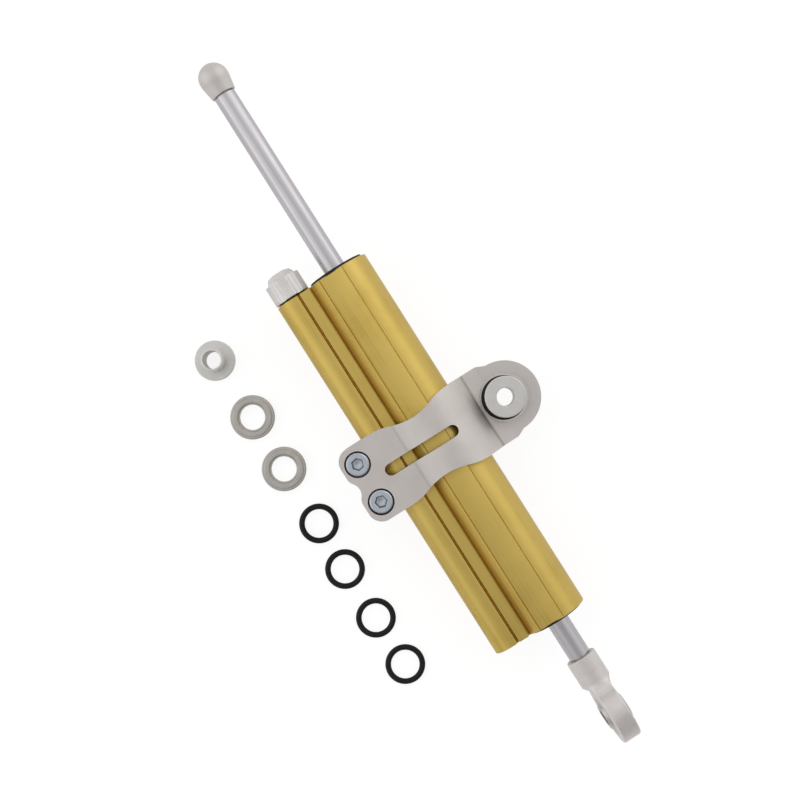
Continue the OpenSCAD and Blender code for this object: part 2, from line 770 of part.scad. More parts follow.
// Clamp: its section across the body, with the strap bending down on both sides, and its outline from above
function bend(slope, run, to) = let (
    steps = 8,
    from = strap_r * [sin(slope), cos(slope)],
    by = from + run * [cos(slope), -sin(slope)]
) [
    for (i = [0 : steps]) let (t = i / steps)
        pow(1 - t, 2) * from + 2 * t * (1 - t) * by + t * t * to
];
module half_section(side, edge) {
    polygon(concat(
        [[0, 0]],
        [for (at = edge) side * [at[0], -at[1]]],
        [for (i = [len(edge) - 1 : -1 : 0]) side * edge[i]]
    ));
}
module clamp_section() {
    circle(strap_r);
    half_section(-1, concat(bend(tab_slope, tab_bend, [tab_crease_at, tab_h]), [[tab_end, tab_h]]));
    half_section(1, concat(
        bend(ear_slope, ear_bend, [crease_at, crease_h]),
        [[ear_flat_at, ear_h], [rod_to_pivot + ear_r, ear_h]]
    ));
}
// Edges of the waist and of the dip: two pairs of arcs that flow into the straight edge
function dip_depth(t, depth, r, span) = abs(t) > span / 2
    ? r - sqrt(r * r - pow(span - abs(t), 2))
    : depth - r + sqrt(r * r - t * t);
module clamp_outline() {
    steps = 48;
    waist_depth = (clamp_w - waist_w) / 2;
    waist_span = sqrt(4 * waist_depth * waist_r - waist_depth * waist_depth);
    dip_span = tab_dip_w / 2;
    dip_r = (dip_span * dip_span + tab_dip * tab_dip) / (4 * tab_dip);
    shoulder_y = rod_to_pivot - 2.2 * (clamp_w / 2 - ear_r);
    lobe_x = clamp_w / 2 - tab_lobe_r;
    lobe_y = tab_lobe_r - tab_end;
    side = [
        for (i = [0 : steps]) let (t = waist_span * (2 * i / steps - 1))
            [clamp_w / 2 - dip_depth(t, waist_depth, waist_r, waist_span), t - waist_at]
    ];
    dip = [
        for (i = [0 : steps / 2]) let (t = dip_span * (4 * i / steps - 1))
            [t, dip_depth(t, tab_dip, dip_r, dip_span) - tab_end]
    ];
    polygon(concat(
        [[-lobe_x, lobe_y], [-lobe_x, -tab_end]],
        dip,
        [[lobe_x, -tab_end], [lobe_x, lobe_y], [clamp_w / 2, lobe_y]],
        side,
        [[clamp_w / 2, shoulder_y], [ear_r, rod_to_pivot]],
        [[-ear_r, rod_to_pivot], [-clamp_w / 2, shoulder_y]],
        [for (i = [steps : -1 : 0]) [-side[i][0], side[i][1]]],
        [[-clamp_w / 2, lobe_y]]
    ));
    translate([0, rod_to_pivot]) circle(ear_r);
    for (end = [-1, 1]) translate([end * lobe_x, lobe_y]) circle(tab_lobe_r);
}
module at_screws() {
    for (side = [-1, 1])
        translate([side * screw_pitch / 2, rod_y - screw_at, tab_h - screw_sink - screw_head_h]) children();
}
module clamp() {
    open_y = side_offset + side_r - split_gap / 2;
    color(grey) difference() {
        intersection() {
            lengthwise(-clamp_w / 2, clamp_w) clamp_section();
            translate([0, rod_y, -strap_r - eps]) linear_extrude(2 * strap_r + 2 * eps) clamp_outline();
        }
        lengthwise(-clamp_w / 2 - eps, clamp_w + 2 * eps) circle(tube_r + clamp_gap);
        lengthwise(-clamp_w / 2 - eps, clamp_w + 2 * eps)
            translate([-side_offset, 0]) circle(side_r + clamp_gap);
        lengthwise(-clamp_w / 2 - eps, clamp_w + 2 * eps)
            translate([-side_offset, -rib_h - clamp_gap]) square([side_offset, 2 * (rib_h + clamp_gap)]);
        lengthwise(-clamp_w / 2 - eps, clamp_w + 2 * eps)
            translate([-tab_end - eps, -split_gap / 2]) square([tab_end + eps - open_y, split_gap]);
        at_screws() {
            cylinder(h = screw_head_h + screw_sink + eps, r = screw_seat_r);
            translate([0, 0, screw_sink + screw_head_h - tab_h]) cylinder(h = tab_h, r = 1.1 * screw_r);
            translate([0, 0, -2 * tab_h]) cylinder(h = 2 * tab_h, r = screw_r + seat_gap);
        }
        for (y = [slot_w / 2 - slot_from, slot_to - slot_w / 2])
            translate([0, rod_y + y, -strap_r - eps]) cylinder(h = 2 * (strap_r + eps), d = slot_w);
        translate([-slot_w / 2, rod_y + slot_w / 2 - slot_from, -strap_r - eps])
            cube([slot_w, slot_from + slot_to - slot_w, 2 * (strap_r + eps)]);
        translate([0, 0, -ear_h - eps]) cylinder(h = 2 * (ear_h + eps), r = race_r);
        translate([0, 0, ear_h]) cylinder(h = strap_r, r = spot_r);
    }
}
module clamp_screws() {
    head_chamfer = screw_head_h / 10;
    color(zinc) at_screws() difference() {
        union() {
            rotate_extrude() polygon([
                [0, 0],
                [screw_head_r, 0],
                [screw_head_r, screw_head_h - head_chamfer],
                [screw_head_r - head_chamfer, screw_head_h],
                [0, screw_head_h]
            ]);
            translate([0, 0, -screw_len]) cylinder(h = screw_len + head_chamfer, r = screw_r);
        }
        translate([0, 0, screw_head_h - screw_hex_depth]) hexagon(screw_hex, screw_hex_depth + eps);
    }
}

// Pivot bearing in the ear, its spacer and its seal ring
module pivot_race() {
    color(silver) race(race_r, 2 * ear_h, ball_r);
}
module pivot_ball() {
    color(chrome) ball(ball_r, ball_w, spacer_boss_r + run_gap);
}
// Flanged spacer with its flange standing on z = 0 and its boss below
module flanged_spacer() {
    edge = 0.3;
    difference() {
        rotate_extrude() polygon([
            [0, spacer_flange_t - spacer_len],
            [spacer_boss_r - edge, spacer_flange_t - spacer_len],
            [spacer_boss_r, spacer_flange_t - spacer_len + edge],
            [spacer_boss_r, 0],
            [spacer_flange_r - edge, 0],
            [spacer_flange_r, edge],
            [spacer_flange_r, spacer_flange_t - edge],
            [spacer_flange_r - edge, spacer_flange_t],
            [0, spacer_flange_t]
        ]);
        translate([0, 0, -spacer_len]) cylinder(h = 2 * spacer_len, r = pivot_bore_r);
    }
}
module pivot_spacer() {
    color(silver) translate([0, 0, flange_z]) flanged_spacer();
}
module pivot_seal_ring() {
    color(black) translate([0, -seal_off, ear_h + seal_d / 2]) o_ring(seal_mid_r, seal_d);
}

// Fitting kit that lies beside the damper
module on_table(at) {
    translate([at[0], rod_y + at[1], table_z]) children();
}
module loose_flanged_spacer() {
    color(silver) on_table(kit_spacer_at) translate([0, 0, spacer_flange_t]) rotate([180, 0, 0])
        flanged_spacer();
}
module loose_spacer_rings() {
    edge = 0.4;
    step_r = (kit_ring_r + kit_ring_bore_r) / 2;
    color(grey) for (at = kit_rings_at) on_table(at) rotate_extrude() polygon([
        [kit_ring_bore_r, 0],
        [kit_ring_r - edge, 0],
        [kit_ring_r, edge],
        [kit_ring_r, kit_ring_t - edge],
        [kit_ring_r - edge, kit_ring_t],
        [step_r + kit_step_d / 2, kit_ring_t],
        [step_r - kit_step_d / 2, kit_ring_t - kit_step_d],
        [kit_ring_bore_r, kit_ring_t - kit_step_d]
    ]);
}
module loose_o_rings() {
    color(black) for (at = kit_seals_at)
        on_table(at) translate([0, 0, kit_seal_d / 2]) o_ring(kit_seal_r - kit_seal_d / 2, kit_seal_d);
}

cylinder_body();
cap_end_gland();
eye_end_gland();
gland_o_rings();
rod_bushes();
rod_seals();
rod_wipers();
adjuster_housing();
housing_o_ring();
detent_ball();
detent_spring();
side_plug();
side_plug_o_ring();
compensator_spring();
compensator_piston();
compensator_o_ring();
adjuster_knob();
adjuster_stem();
stem_o_ring();
knob_grub_screw();
piston();
piston_band();
piston_circlips();
piston_rod();
rod_cap();
rod_end();
eye_race();
eye_ball();
clamp();
clamp_screws();
pivot_race();
pivot_ball();
pivot_spacer();
pivot_seal_ring();
loose_flanged_spacer();
loose_spacer_rings();
loose_o_rings();
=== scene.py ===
import math

import bmesh
import bpy
from bpy.props import FloatProperty, FloatVectorProperty, IntProperty, PointerProperty
from mathutils import Matrix, Vector


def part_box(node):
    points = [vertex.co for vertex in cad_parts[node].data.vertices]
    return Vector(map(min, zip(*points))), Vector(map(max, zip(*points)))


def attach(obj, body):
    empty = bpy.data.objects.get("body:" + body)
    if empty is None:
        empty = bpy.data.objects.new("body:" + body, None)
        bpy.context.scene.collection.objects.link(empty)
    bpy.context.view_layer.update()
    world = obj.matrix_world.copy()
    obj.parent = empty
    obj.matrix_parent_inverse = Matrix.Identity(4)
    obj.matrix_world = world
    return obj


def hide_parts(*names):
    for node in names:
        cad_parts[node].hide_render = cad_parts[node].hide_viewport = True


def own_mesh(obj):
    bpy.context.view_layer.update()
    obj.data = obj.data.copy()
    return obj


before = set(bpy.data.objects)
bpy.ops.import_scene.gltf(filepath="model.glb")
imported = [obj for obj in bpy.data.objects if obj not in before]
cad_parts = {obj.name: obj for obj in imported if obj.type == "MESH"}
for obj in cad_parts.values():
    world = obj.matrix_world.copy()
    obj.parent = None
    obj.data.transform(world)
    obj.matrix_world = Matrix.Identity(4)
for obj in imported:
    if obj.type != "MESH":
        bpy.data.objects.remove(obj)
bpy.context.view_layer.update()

bl_info = {
    "name": "Steering damper",
    "version": (1, 0, 0),
    "blender": (4, 5, 0),
    "location": "View3D > Sidebar > Damper",
    "description": "Dresses a through-rod steering damper, its frame clamp and its fitting kit",
    "category": "Object",
}

BODY_LOW, BODY_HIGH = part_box("cylinder_body")
KNOB_LOW, KNOB_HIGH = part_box("adjuster_knob")
CAP_LOW, CAP_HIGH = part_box("rod_cap")
ROD_LOW, ROD_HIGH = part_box("piston_rod")
SPACER_LOW, SPACER_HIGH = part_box("pivot_spacer")
TABLE_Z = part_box("clamp")[0].z


def length(name, default, description):
    return FloatProperty(name=name, description=description, default=default, unit="LENGTH", precision=5)


def angle(name, degrees, description):
    return FloatProperty(name=name, description=description, default=math.radians(degrees), subtype="ANGLE")


def count(name, default, description):
    return IntProperty(name=name, description=description, default=default, min=3)


def amount(name, default, description, unit="NONE"):
    return FloatProperty(name=name, description=description, default=default, unit=unit)


def tint(name, default, description):
    return FloatVectorProperty(
        name=name, description=description, default=default, subtype="COLOR", size=3, min=0, max=1
    )


class DamperSizes(bpy.types.PropertyGroup):
    """Sizes of the pieces that are remade with their fine edges"""

    rod_y: length("Rod axis", (ROD_LOW.y + ROD_HIGH.y) / 2, "Place of the rod's axis across the body")
    side_y: length("Side tube axis", (KNOB_LOW.y + KNOB_HIGH.y) / 2, "Place of the side tube's axis")
    tube_r: length("Tube radius", BODY_HIGH.y - (ROD_LOW.y + ROD_HIGH.y) / 2, "Outer radius of the main tube")
    side_r: length("Side tube radius", 0.0066, "Outer radius of the side tube")
    bore_r: length("Main bore", 0.009, "Radius of the main bore")
    side_bore_r: length("Side bore", 0.0045, "Radius of the side tube's bore")
    flat_dist: length("Flat distance", 0.01055, "Distance of the long flats from the rod's axis")
    flat_w: length("Flat width", 0.0099, "Width of the long flats")
    flat_tilt: angle("Flat tilt", 12.3, "Lean of the long flats about the rod's axis")
    flat_dip: length("Flat dip", 0.00036, "Depth of the long flats' shallow hollow")
    flat_line: length("Flat line", 0.0004, "Width of the fine line along the flats' edges")
    rib_h: length("Rib height", 0.0062, "Half the height of the rib between the tubes")
    valley_wall: length("Valley wall", 0.0115, "Distance of the valley's wall from the rod's axis")
    valley_floor: length("Valley floor", 0.0003, "Width of the valley's floor")
    valley_from: angle("Valley start", 147.5, "Where the valley's side leaves the tube")
    valley_slope: angle("Valley slope", 48, "Slope of the valley's side")
    groove_w: length("Groove width", 0.0010, "Width of the V grooves")
    groove_d: length("Groove depth", 0.0012, "Depth of the V grooves")
    groove_off: length("Groove offset", 0.0022, "Distance of the V grooves from the side tube's axis")
    body_edge: length("Body edge", 0.00025, "Chamfer at the body's sawn ends")
    ear_crease: length("Ear crease", 0.017, "Distance of the ear's crease from the rod's axis")
    tab_crease: length("Tab crease", 0.0126, "Distance of the tabs' crease from the rod's axis")
    clamp_edge: length("Clamp edge", 0.00038, "Rounding of the clamp's edges")
    clamp_keep: length("Clamp seat", 0.0095, "Edges nearer to the pivot than this stay sharp")
    knob_r: length("Knob radius", KNOB_HIGH.z, "Radius of the adjuster's knob")
    recess_r: length("Knob recess", 0.0042, "Radius of the recess in the knob's foot")
    recess_d: length("Recess depth", 0.00035, "Depth of the recess in the knob's foot")
    nose_len: length("Nose length", 0.0023, "Length of the knob's six-sided nose")
    nose_r: length("Nose foot", 0.0054, "Radius of the nose's corners at its foot")
    nose_tip_r: length("Nose tip", 0.0044, "Radius of the nose's corners at its tip")
    scallop_r: length("Scallop radius", 0.003, "Radius of the finger scallops")
    scallop_depth: length("Scallop depth", 0.00045, "Depth of the finger scallops")
    scallops: count("Scallops", 6, "Finger scallops round the knob")
    cap_r: length("Cap radius", CAP_HIGH.z, "Largest radius of the end cap")
    cap_belt: length("Cap belt", 0.001, "Length of the end cap's widest part")
    cap_foot_r: length("Cap foot", 0.0046, "Radius of the end cap where it meets the rod")
    shank_r: length("Shank radius", 0.0056, "Radius of the rod end's shank")
    shank_len: length("Shank length", 0.0102, "Length of the rod end's shank")
    blade_t: length("Eye width", 0.007, "Width of the rod end's eye")
    eye_dist: length("Eye distance", 0.023, "Distance of the eye's centre from the shank's face")
    eye_r: length("Eye radius", 0.0112, "Outer radius of the eye")
    eye_seat_r: length("Eye seat", 0.0074, "Radius of the bearing's seat in the eye")
    eye_roll: angle("Eye roll", 5, "Turn of the eye about the rod")
    spring_wire: length("Spring wire", 0.00045, "Radius of the compensator spring's wire")
    spring_turns: count("Spring turns", 7, "Turns of the compensator spring")
    screw_r: length("Screw radius", 0.0025, "Radius of the clamp screws' thread")
    screw_head: length("Screw head", 0.005, "Height of the clamp screws' heads")
    screw_head_r: length("Screw head radius", 0.00425, "Radius of the clamp screws' heads")
    screw_hex: length("Screw key", 0.004, "Key width of the clamp screws' sockets")
    socket_d: length("Socket depth", 0.0026, "Depth of the clamp screws' sockets")
    screw_pitch: length("Thread pitch", 0.0008, "Pitch of the clamp screws' thread")
    spacer_r: length("Spacer flange", SPACER_HIGH.x, "Radius of the pivot spacer's flange")
    flange_t: length("Flange thickness", 0.003, "Thickness of the spacers' flanges")
    boss_r: length("Spacer boss", 0.004, "Radius of the pivot spacer's boss")
    pivot_hole_r: length("Pivot hole", 0.0032, "Radius of the bolt hole in the spacer")
    ring_r: length("Spacer ring", 0.00805, "Outer radius of the loose spacer rings")
    ring_step: length("Ring step", 0.0004, "Depth of the step at the rings' hole")
    ring_rim: length("Ring rim", 0.00025, "Depth of the rim round the rings")
    ring_face_r: length("Ring face", 0.0069, "Outer radius of the rings' raised face")
    ring_hole_r: length("Ring hole", 0.0046, "Radius of the rings' hole")
    seal_r: length("O-ring", 0.00725, "Outer radius of the loose O-rings")
    seal_d: length("O-ring section", 0.0021, "Thickness of the loose O-rings")


class DamperFinishes(bpy.types.PropertyGroup):
    """Colours of the damper's finishes, as linear values"""

    gold: tint("Gold", (0.69, 0.505, 0.14), "Anodised body")
    gold_deep: tint("Deep gold", (0.55, 0.385, 0.085), "Anodised body in its tool lines")
    clamp: tint("Clamp", (0.695, 0.65, 0.618), "Blasted and anodised clamp")
    chrome: tint("Chrome", (0.635, 0.61, 0.638), "Ground and chromed rod")
    steel: tint("Satin steel", (0.75, 0.71, 0.69), "Turned and plated steel")
    cap: tint("Cap", (0.7245, 0.68775, 0.6615), "End cap")
    spacer: tint("Spacer", (0.77, 0.75, 0.725), "Plated spacers")
    knob: tint("Knob", (0.815, 0.785, 0.765), "Machined knob")
    zinc: tint("Zinc", (0.58, 0.625, 0.68), "Plated screws")
    ring: tint("Ring", (0.545, 0.52, 0.485), "Turned loose rings")
    oxide: tint("Oxide", (0.56, 0.535, 0.52), "Blackened bearing in the rod end")
    black: tint("Black", (0.006, 0.006, 0.006), "Black anodised pieces")
    rubber: tint("Rubber", (0.004, 0.0037, 0.0034), "Seals and O-rings")
    bronze: tint("Bronze", (0.45, 0.30, 0.13), "Bushes and slide band")


class DamperStage(bpy.types.PropertyGroup):
    """Camera, floor and light"""

    camera_x: length("Camera along", -0.0188, "Place of the camera along the body")
    camera_y: length("Camera across", -0.03175, "Place of the camera across the body")
    camera_z: length("Camera height", 0.577, "Height of the camera over the rod's axis")
    camera_angle: angle("Field of view", 27.6, "Width of the view")
    camera_turn: angle("Turn", 57.62, "Turn of the picture about the view")
    key_power: amount("Key light", 0.6, "Softbox on the ear's side", "POWER")
    fill_power: amount("Fill light", 0.3, "Softbox on the knob's side", "POWER")
    tent_power: amount("Tent", 1.69, "Strength of the light tent")
    floor_glow: amount("Floor glow", 0.86, "The floor's own light, which keeps it white")
    floor: tint("Floor", (0.88, 0.88, 0.88), "Pale floor")


# Shader building

def operation(name, swapped=False):
    """A method of Wire that adds a math node"""

    def method(self, other):
        ends = (other, self) if swapped else (self, other)
        return self.shader.node("ShaderNodeMath", {"operation": name}, dict(enumerate(ends)))

    return method


class Wire:
    """A shader socket that can stand in a Python sum"""

    def __init__(self, shader, socket):
        self.shader = shader
        self.socket = socket

    __add__, __radd__ = operation("ADD"), operation("ADD", True)
    __sub__, __rsub__ = operation("SUBTRACT"), operation("SUBTRACT", True)
    __mul__, __rmul__ = operation("MULTIPLY"), operation("MULTIPLY", True)


class Shader:
    """Node tree of one material or of the world"""

    def __init__(self, owner):
        owner.use_nodes = True
        self.tree = owner.node_tree
        self.tree.nodes.clear()

    def node(self, kind, settings=None, inputs=None, out=0):
        made = self.tree.nodes.new(kind)
        for name, value in (settings or {}).items():
            if name == "stops":
                ramp = made.color_ramp.elements
                while len(ramp) < len(value):
                    ramp.new(0.5)
                for stop, (place, grey) in zip(ramp, value):
                    stop.position = place
                    stop.color = (grey, grey, grey, 1)
            else:
                setattr(made, name, value)
        for name, value in (inputs or {}).items():
            if isinstance(value, Wire):
                self.tree.links.new(value.socket, made.inputs[name])
            elif value is not None:
                made.inputs[name].default_value = value
        return Wire(self, made.outputs[out]) if made.outputs else None

    def mix(self, factor, first, second):
        ends = [(*c, 1) if isinstance(c, tuple) else c for c in (first, second)]
        return self.node("ShaderNodeMix", {"data_type": "RGBA"}, {0: factor, 6: ends[0], 7: ends[1]}, out=2)

    def part(self, vector, axis):
        """One of a vector's three values"""
        return self.node("ShaderNodeSeparateXYZ", None, {0: vector}, out="XYZ".index(axis))

    def size(self, value):
        return self.node("ShaderNodeMath", {"operation": "ABSOLUTE"}, {0: value})

    def place(self):
        """Place on the piece, in millimetres"""
        metres = self.node("ShaderNodeTexCoord", out=3)
        return self.node("ShaderNodeVectorMath", {"operation": "SCALE"}, {0: metres, 3: 1000.0})

    def stretched(self, place, x, y, z):
        return self.node("ShaderNodeVectorMath", {"operation": "MULTIPLY"}, {0: place, 1: (x, y, z)})

    def noise(self, place, scale, detail=3.0, roughness=0.55):
        return self.node(
            "ShaderNodeTexNoise", None, {"Vector": place, "Scale": scale, "Detail": detail, "Roughness": roughness}
        )

    def between(self, value, low, high, to_low=0.0, to_high=1.0):
        return self.node("ShaderNodeMapRange", None, {0: value, 1: low, 2: high, 3: to_low, 4: to_high})

    def bump(self, height, strength, distance):
        return self.node("ShaderNodeBump", None, {"Height": height, "Strength": strength, "Distance": distance})

    def finish(self, colour, rough, normal, metallic=1.0, specular=None):
        inputs = {"Base Color": colour, "Metallic": metallic, "Roughness": rough, "Normal": normal}
        inputs["Specular IOR Level"] = specular
        surface = self.node("ShaderNodeBsdfPrincipled", None, inputs)
        self.node("ShaderNodeOutputMaterial", None, {"Surface": surface})


MATERIALS = {}


def material(build, name=None):
    """A material that is built once and then shared"""
    name = name or build.__name__
    if name not in MATERIALS:
        MATERIALS[name] = bpy.data.materials.new(name)
        build(Shader(MATERIALS[name]), bpy.context.scene.damper_finishes)
    return MATERIALS[name]


def metal(name):
    """One of the turned metals, by its name in TURNED"""
    return material(lambda shader, look: turned(shader, look, *TURNED[name]), name)


def times(base, by):
    """A colour made darker or lighter"""
    return tuple(min(1, by * c) for c in base)


def worn_edges(shader):
    """1 along convex edges, 0 elsewhere"""
    pointed = shader.node("ShaderNodeNewGeometry", out=7)
    return shader.between(pointed, 0.52, 0.60)


def broken_edges(shader):
    """1 on the faces that softened made, 0 elsewhere"""
    return 1 - shader.node("ShaderNodeAttribute", {"attribute_name": "broad"}, out=2)


def gold_anodised(shader, look):
    """Drawn and anodised extrusion: fine lengthwise tool lines under a satin, slightly clouded dye"""
    place = shader.place()
    lines = shader.noise(shader.stretched(place, 0.012, 3.4, 3.4), 1.0, 4.0, 0.7)
    fine = shader.noise(shader.stretched(place, 0.05, 11.0, 11.0), 1.0, 2.0, 0.6)
    cloud = shader.noise(place, 0.06, 3.0)
    grain = shader.noise(place, 9.0, 2.0)
    dye = shader.between(lines, 0.30, 0.70) * 0.55 + shader.between(cloud, 0.3, 0.7) * 0.45
    colour = shader.mix(dye, tuple(look.gold_deep), tuple(look.gold))
    colour = shader.mix(shader.between(dye, 0.15, 0.55), colour, tuple(look.gold))
    rough = 0.34 + 0.10 * shader.between(lines, 0.3, 0.7) + 0.05 * grain
    normal = shader.bump(lines * 0.6 + fine * 0.25 + grain * 0.15, 0.20, 0.00006)
    shader.finish(colour, rough, normal)


def blasted_clamp(shader, look, shade=1.0):
    """Machined, bead-blasted and clear anodised, with painted shade darkening its creases"""
    sizes = bpy.context.scene.damper_sizes
    place = shader.place()
    grit = shader.noise(place, 14.0, 3.0, 0.7)
    fine = shader.noise(place, 34.0, 1.0)
    cloud = shader.noise(place, 0.11, 3.0)
    edge = broken_edges(shader)
    tone = shader.between(cloud, 0.32, 0.68) * 0.6 + shader.between(grit, 0.3, 0.7) * 0.4
    base = times(look.clamp, shade)
    across = shader.part(place, "Y")
    upward = shader.part(shader.node("ShaderNodeNewGeometry", out=1), "Z")
    level = shader.between(shader.size(upward), 0.3, 0.6)
    colour = shader.mix(tone, times(base, 0.93), times(base, 1.04))
    # painted shade: the level faces along the ear's crease and the tabs' crease are darkened to a brownish grey
    for crease, depth in ((sizes.ear_crease, 0.75), (-sizes.tab_crease, 0.35)):
        off = shader.size(across - 1000 * (sizes.rod_y + crease))
        crease_shade = shader.between(off, 0.1, 0.75, depth, 0.0) * (0.6 + 0.4 * grit) * level
        colour = shader.mix(crease_shade, colour, tuple(k * c for k, c in zip((0.52, 0.50, 0.45), base)))
    colour = shader.mix(edge * 0.35, colour, times(base, 1.2))
    rough = 0.44 + 0.10 * shader.between(grit, 0.3, 0.7) - 0.08 * edge
    normal = shader.bump(grit * 0.6 + fine * 0.4, 0.22, 0.00005)
    shader.finish(colour, rough, normal, 0.7)


def clamp_recess(shader, look):
    """Painted shade: the clamp's milled slot and counterbores darkened to stand in for the shade inside them"""
    blasted_clamp(shader, look, 0.13)


def ground_chrome(shader, look):
    """Hard chrome with the marks of centreless grinding round the rod, and painted reflection streaks along it"""
    place = shader.place()
    rings = shader.noise(shader.stretched(place, 7.0, 0.25, 0.25), 1.0, 3.0, 0.6)
    reflection_streaks = shader.noise(shader.stretched(place, 0.02, 1.6, 1.6), 1.0, 3.0)
    haze = shader.noise(place, 0.09, 2.0)
    base = tuple(look.chrome)
    # painted reflection: lengthwise streaks darken the chrome's colour
    colour = shader.mix(shader.between(reflection_streaks, 0.35, 0.65), times(base, 0.86), base)
    rough = 0.27 + 0.06 * shader.between(rings, 0.3, 0.7) + 0.06 * shader.between(haze, 0.4, 0.7)
    normal = shader.bump(rings, 0.10, 0.00002)
    shader.finish(colour, rough, normal)


def turned(shader, look, finish, shade, axis, roughness, depth=0.00004, pitch=5.0, edges=True):
    """Metal turned on a lathe about one of the piece's own axes"""
    base = times(getattr(look, finish), shade)
    place = shader.place()
    axial = {"X": (1, 0, 0), "Z": (0, 0, 1)}[axis]
    flat = shader.stretched(place, *(1 - a for a in axial))
    radius = shader.node("ShaderNodeVectorMath", {"operation": "LENGTH"}, {0: flat}, out=1)
    along = shader.node("ShaderNodeVectorMath", {"operation": "DOT_PRODUCT"}, {0: place, 1: axial}, out=1)
    spread = shader.node("ShaderNodeCombineXYZ", None, {"X": radius * pitch, "Y": along * pitch})
    marks = shader.node(
        "ShaderNodeTexNoise",
        {"noise_dimensions": "2D"},
        {"Vector": spread, "Scale": 1.0, "Detail": 3.0, "Roughness": 0.65},
    )
    cloud = shader.noise(place, 0.25, 3.0)
    grain = shader.noise(place, 18.0, 2.0)
    tone = shader.between(cloud, 0.3, 0.7) * 0.5 + shader.between(marks, 0.3, 0.7) * 0.5
    colour = shader.mix(tone, times(base, 0.90), times(base, 1.05))
    if edges:
        colour = shader.mix(worn_edges(shader) * 0.3, colour, times(base, 1.18))
    rough = roughness + 0.10 * shader.between(marks, 0.3, 0.7) + 0.05 * grain
    normal = shader.bump(marks * 0.75 + grain * 0.25, 0.25, depth)
    shader.finish(colour, rough, normal)


# Finish, its shade, the lathe's axis and roughness; then depth and pitch of the marks, and whether edges are worn
TURNED = {
    "satin_steel_x": ("steel", 1.0, "X", 0.38),
    "cap_metal": ("cap", 1.0, "Z", 0.50),
    "plated_forging": ("steel", 1.06, "X", 0.52, 0.00002, 1.6, False),
    "spacer_plate": ("spacer", 1.0, "Z", 0.34),
    "knob_metal": ("knob", 1.0, "Z", 0.44),
    "ring_metal": ("ring", 1.0, "Z", 0.36, 0.00008, 2.2),
    "zinc_plate": ("zinc", 1.0, "Z", 0.28, 0.00003, 4.0),
    # painted shade: darker zinc for the screws' socket walls
    "zinc_socket": ("zinc", 0.42, "Z", 0.34, 0.00003, 4.0),
    "race_steel": ("steel", 0.8, "X", 0.40, 0.00001, 5.0, False),
    "oxide_steel": ("oxide", 1.0, "X", 0.28, 0.00001, 5.0, False),
    "bearing_steel": ("steel", 0.92, "Z", 0.16, 0.00001),
    "bronze_metal": ("bronze", 1.0, "X", 0.38),
}


def black_anodised(shader, look):
    """Black anodised metal with a faint turned grain"""
    place = shader.place()
    grain = shader.noise(place, 12.0, 3.0)
    cloud = shader.noise(place, 0.3, 2.0)
    edge = worn_edges(shader)
    base = tuple(look.black)
    colour = shader.mix(shader.between(cloud, 0.3, 0.7), base, times(base, 1.8))
    colour = shader.mix(edge * 0.5, colour, (0.03, 0.03, 0.03))
    rough = 0.44 + 0.14 * grain
    normal = shader.bump(grain, 0.15, 0.00004)
    shader.finish(colour, rough, normal, 0.0, 0.3)


def moulded_rubber(shader, look):
    """Nitrile rubber with a bloom of dust"""
    place = shader.place()
    skin = shader.noise(place, 7.0, 4.0, 0.6)
    bloom = shader.noise(place, 0.7, 3.0)
    base = tuple(look.rubber)
    colour = shader.mix(shader.between(bloom, 0.45, 0.75), base, times(base, 2.4))
    rough = 0.46 + 0.20 * skin
    normal = shader.bump(skin, 0.25, 0.00005)
    shader.finish(colour, rough, normal, 0.0, 0.3)


# Mesh building

def rounded(corners, steps=4):
    """A closed outline with its corners rounded; a corner may carry a radius as a third value"""
    outline = []
    for i, corner in enumerate(corners):
        here = Vector(corner[:2])
        reach = corner[2] if len(corner) > 2 else 0
        back = Vector(corners[i - 1][:2]) - here
        ahead = Vector(corners[(i + 1) % len(corners)][:2]) - here
        if reach <= 0 or back.length < 1e-9 or ahead.length < 1e-9:
            outline.append(here)
            continue
        half = back.angle(ahead) / 2
        cut = min(reach / max(math.tan(half), 1e-3), 0.45 * back.length, 0.45 * ahead.length)
        start = here + back.normalized() * cut
        end = here + ahead.normalized() * cut
        for k in range(steps + 1):
            t = k / steps
            outline.append(start * (1 - t) ** 2 + here * (2 * t * (1 - t)) + end * t ** 2)
    return outline


def arc(centre, radius, start, end, steps):
    """Points on an arc, with no rounding of their own"""
    turns = [start + (end - start) * k / steps for k in range(steps + 1)]
    return [(centre + radius * math.cos(turn), radius * math.sin(turn), 0) for turn in turns]


def lathe(mesh, outline, segments=128, wave=None):
    """Turns an outline of (radius, height) about Z; wave may change the radius by angle"""
    rings = []
    for radius, height in outline:
        if radius < 1e-7:
            rings.append([mesh.verts.new((0, 0, height))])
            continue
        ring = []
        for k in range(segments):
            turn = 2 * math.pi * k / segments
            reach = wave(radius, height, turn) if wave else radius
            ring.append(mesh.verts.new((reach * math.cos(turn), reach * math.sin(turn), height)))
        rings.append(ring)
    for low, high in zip(rings, rings[1:] + rings[:1]):
        if len(low) == 1 and len(high) == 1:
            continue
        for k in range(segments):
            after = (k + 1) % segments
            corners = [low[k % len(low)], low[after % len(low)], high[after % len(high)], high[k % len(high)]]
            mesh.faces.new(list(dict.fromkeys(corners)))


def skinned(mesh, loops):
    """Faces between loops of equal length"""
    for low, high in zip(loops, loops[1:]):
        for k in range(len(low)):
            mesh.faces.new((low[k - 1], low[k], high[k], high[k - 1]))


def coil(mesh, turns, radius, wire, tall, rings=30, sides=12):
    """A spring of round wire about Z, from zero up"""
    loops = []
    angles = [2 * math.pi * i / sides for i in range(sides)]
    up = Vector((0, 0, 1))
    for k in range(turns * rings + 1):
        turn = 2 * math.pi * k / rings
        out = Vector((math.cos(turn), math.sin(turn), 0))
        middle = out * radius + up * (wire + (tall - 2 * wire) * k / (turns * rings))
        loops.append([mesh.verts.new(middle + wire * (out * math.cos(a) + up * math.sin(a))) for a in angles])
    skinned(mesh, loops)
    for end in (loops[0], loops[-1]):
        mesh.faces.new(end)


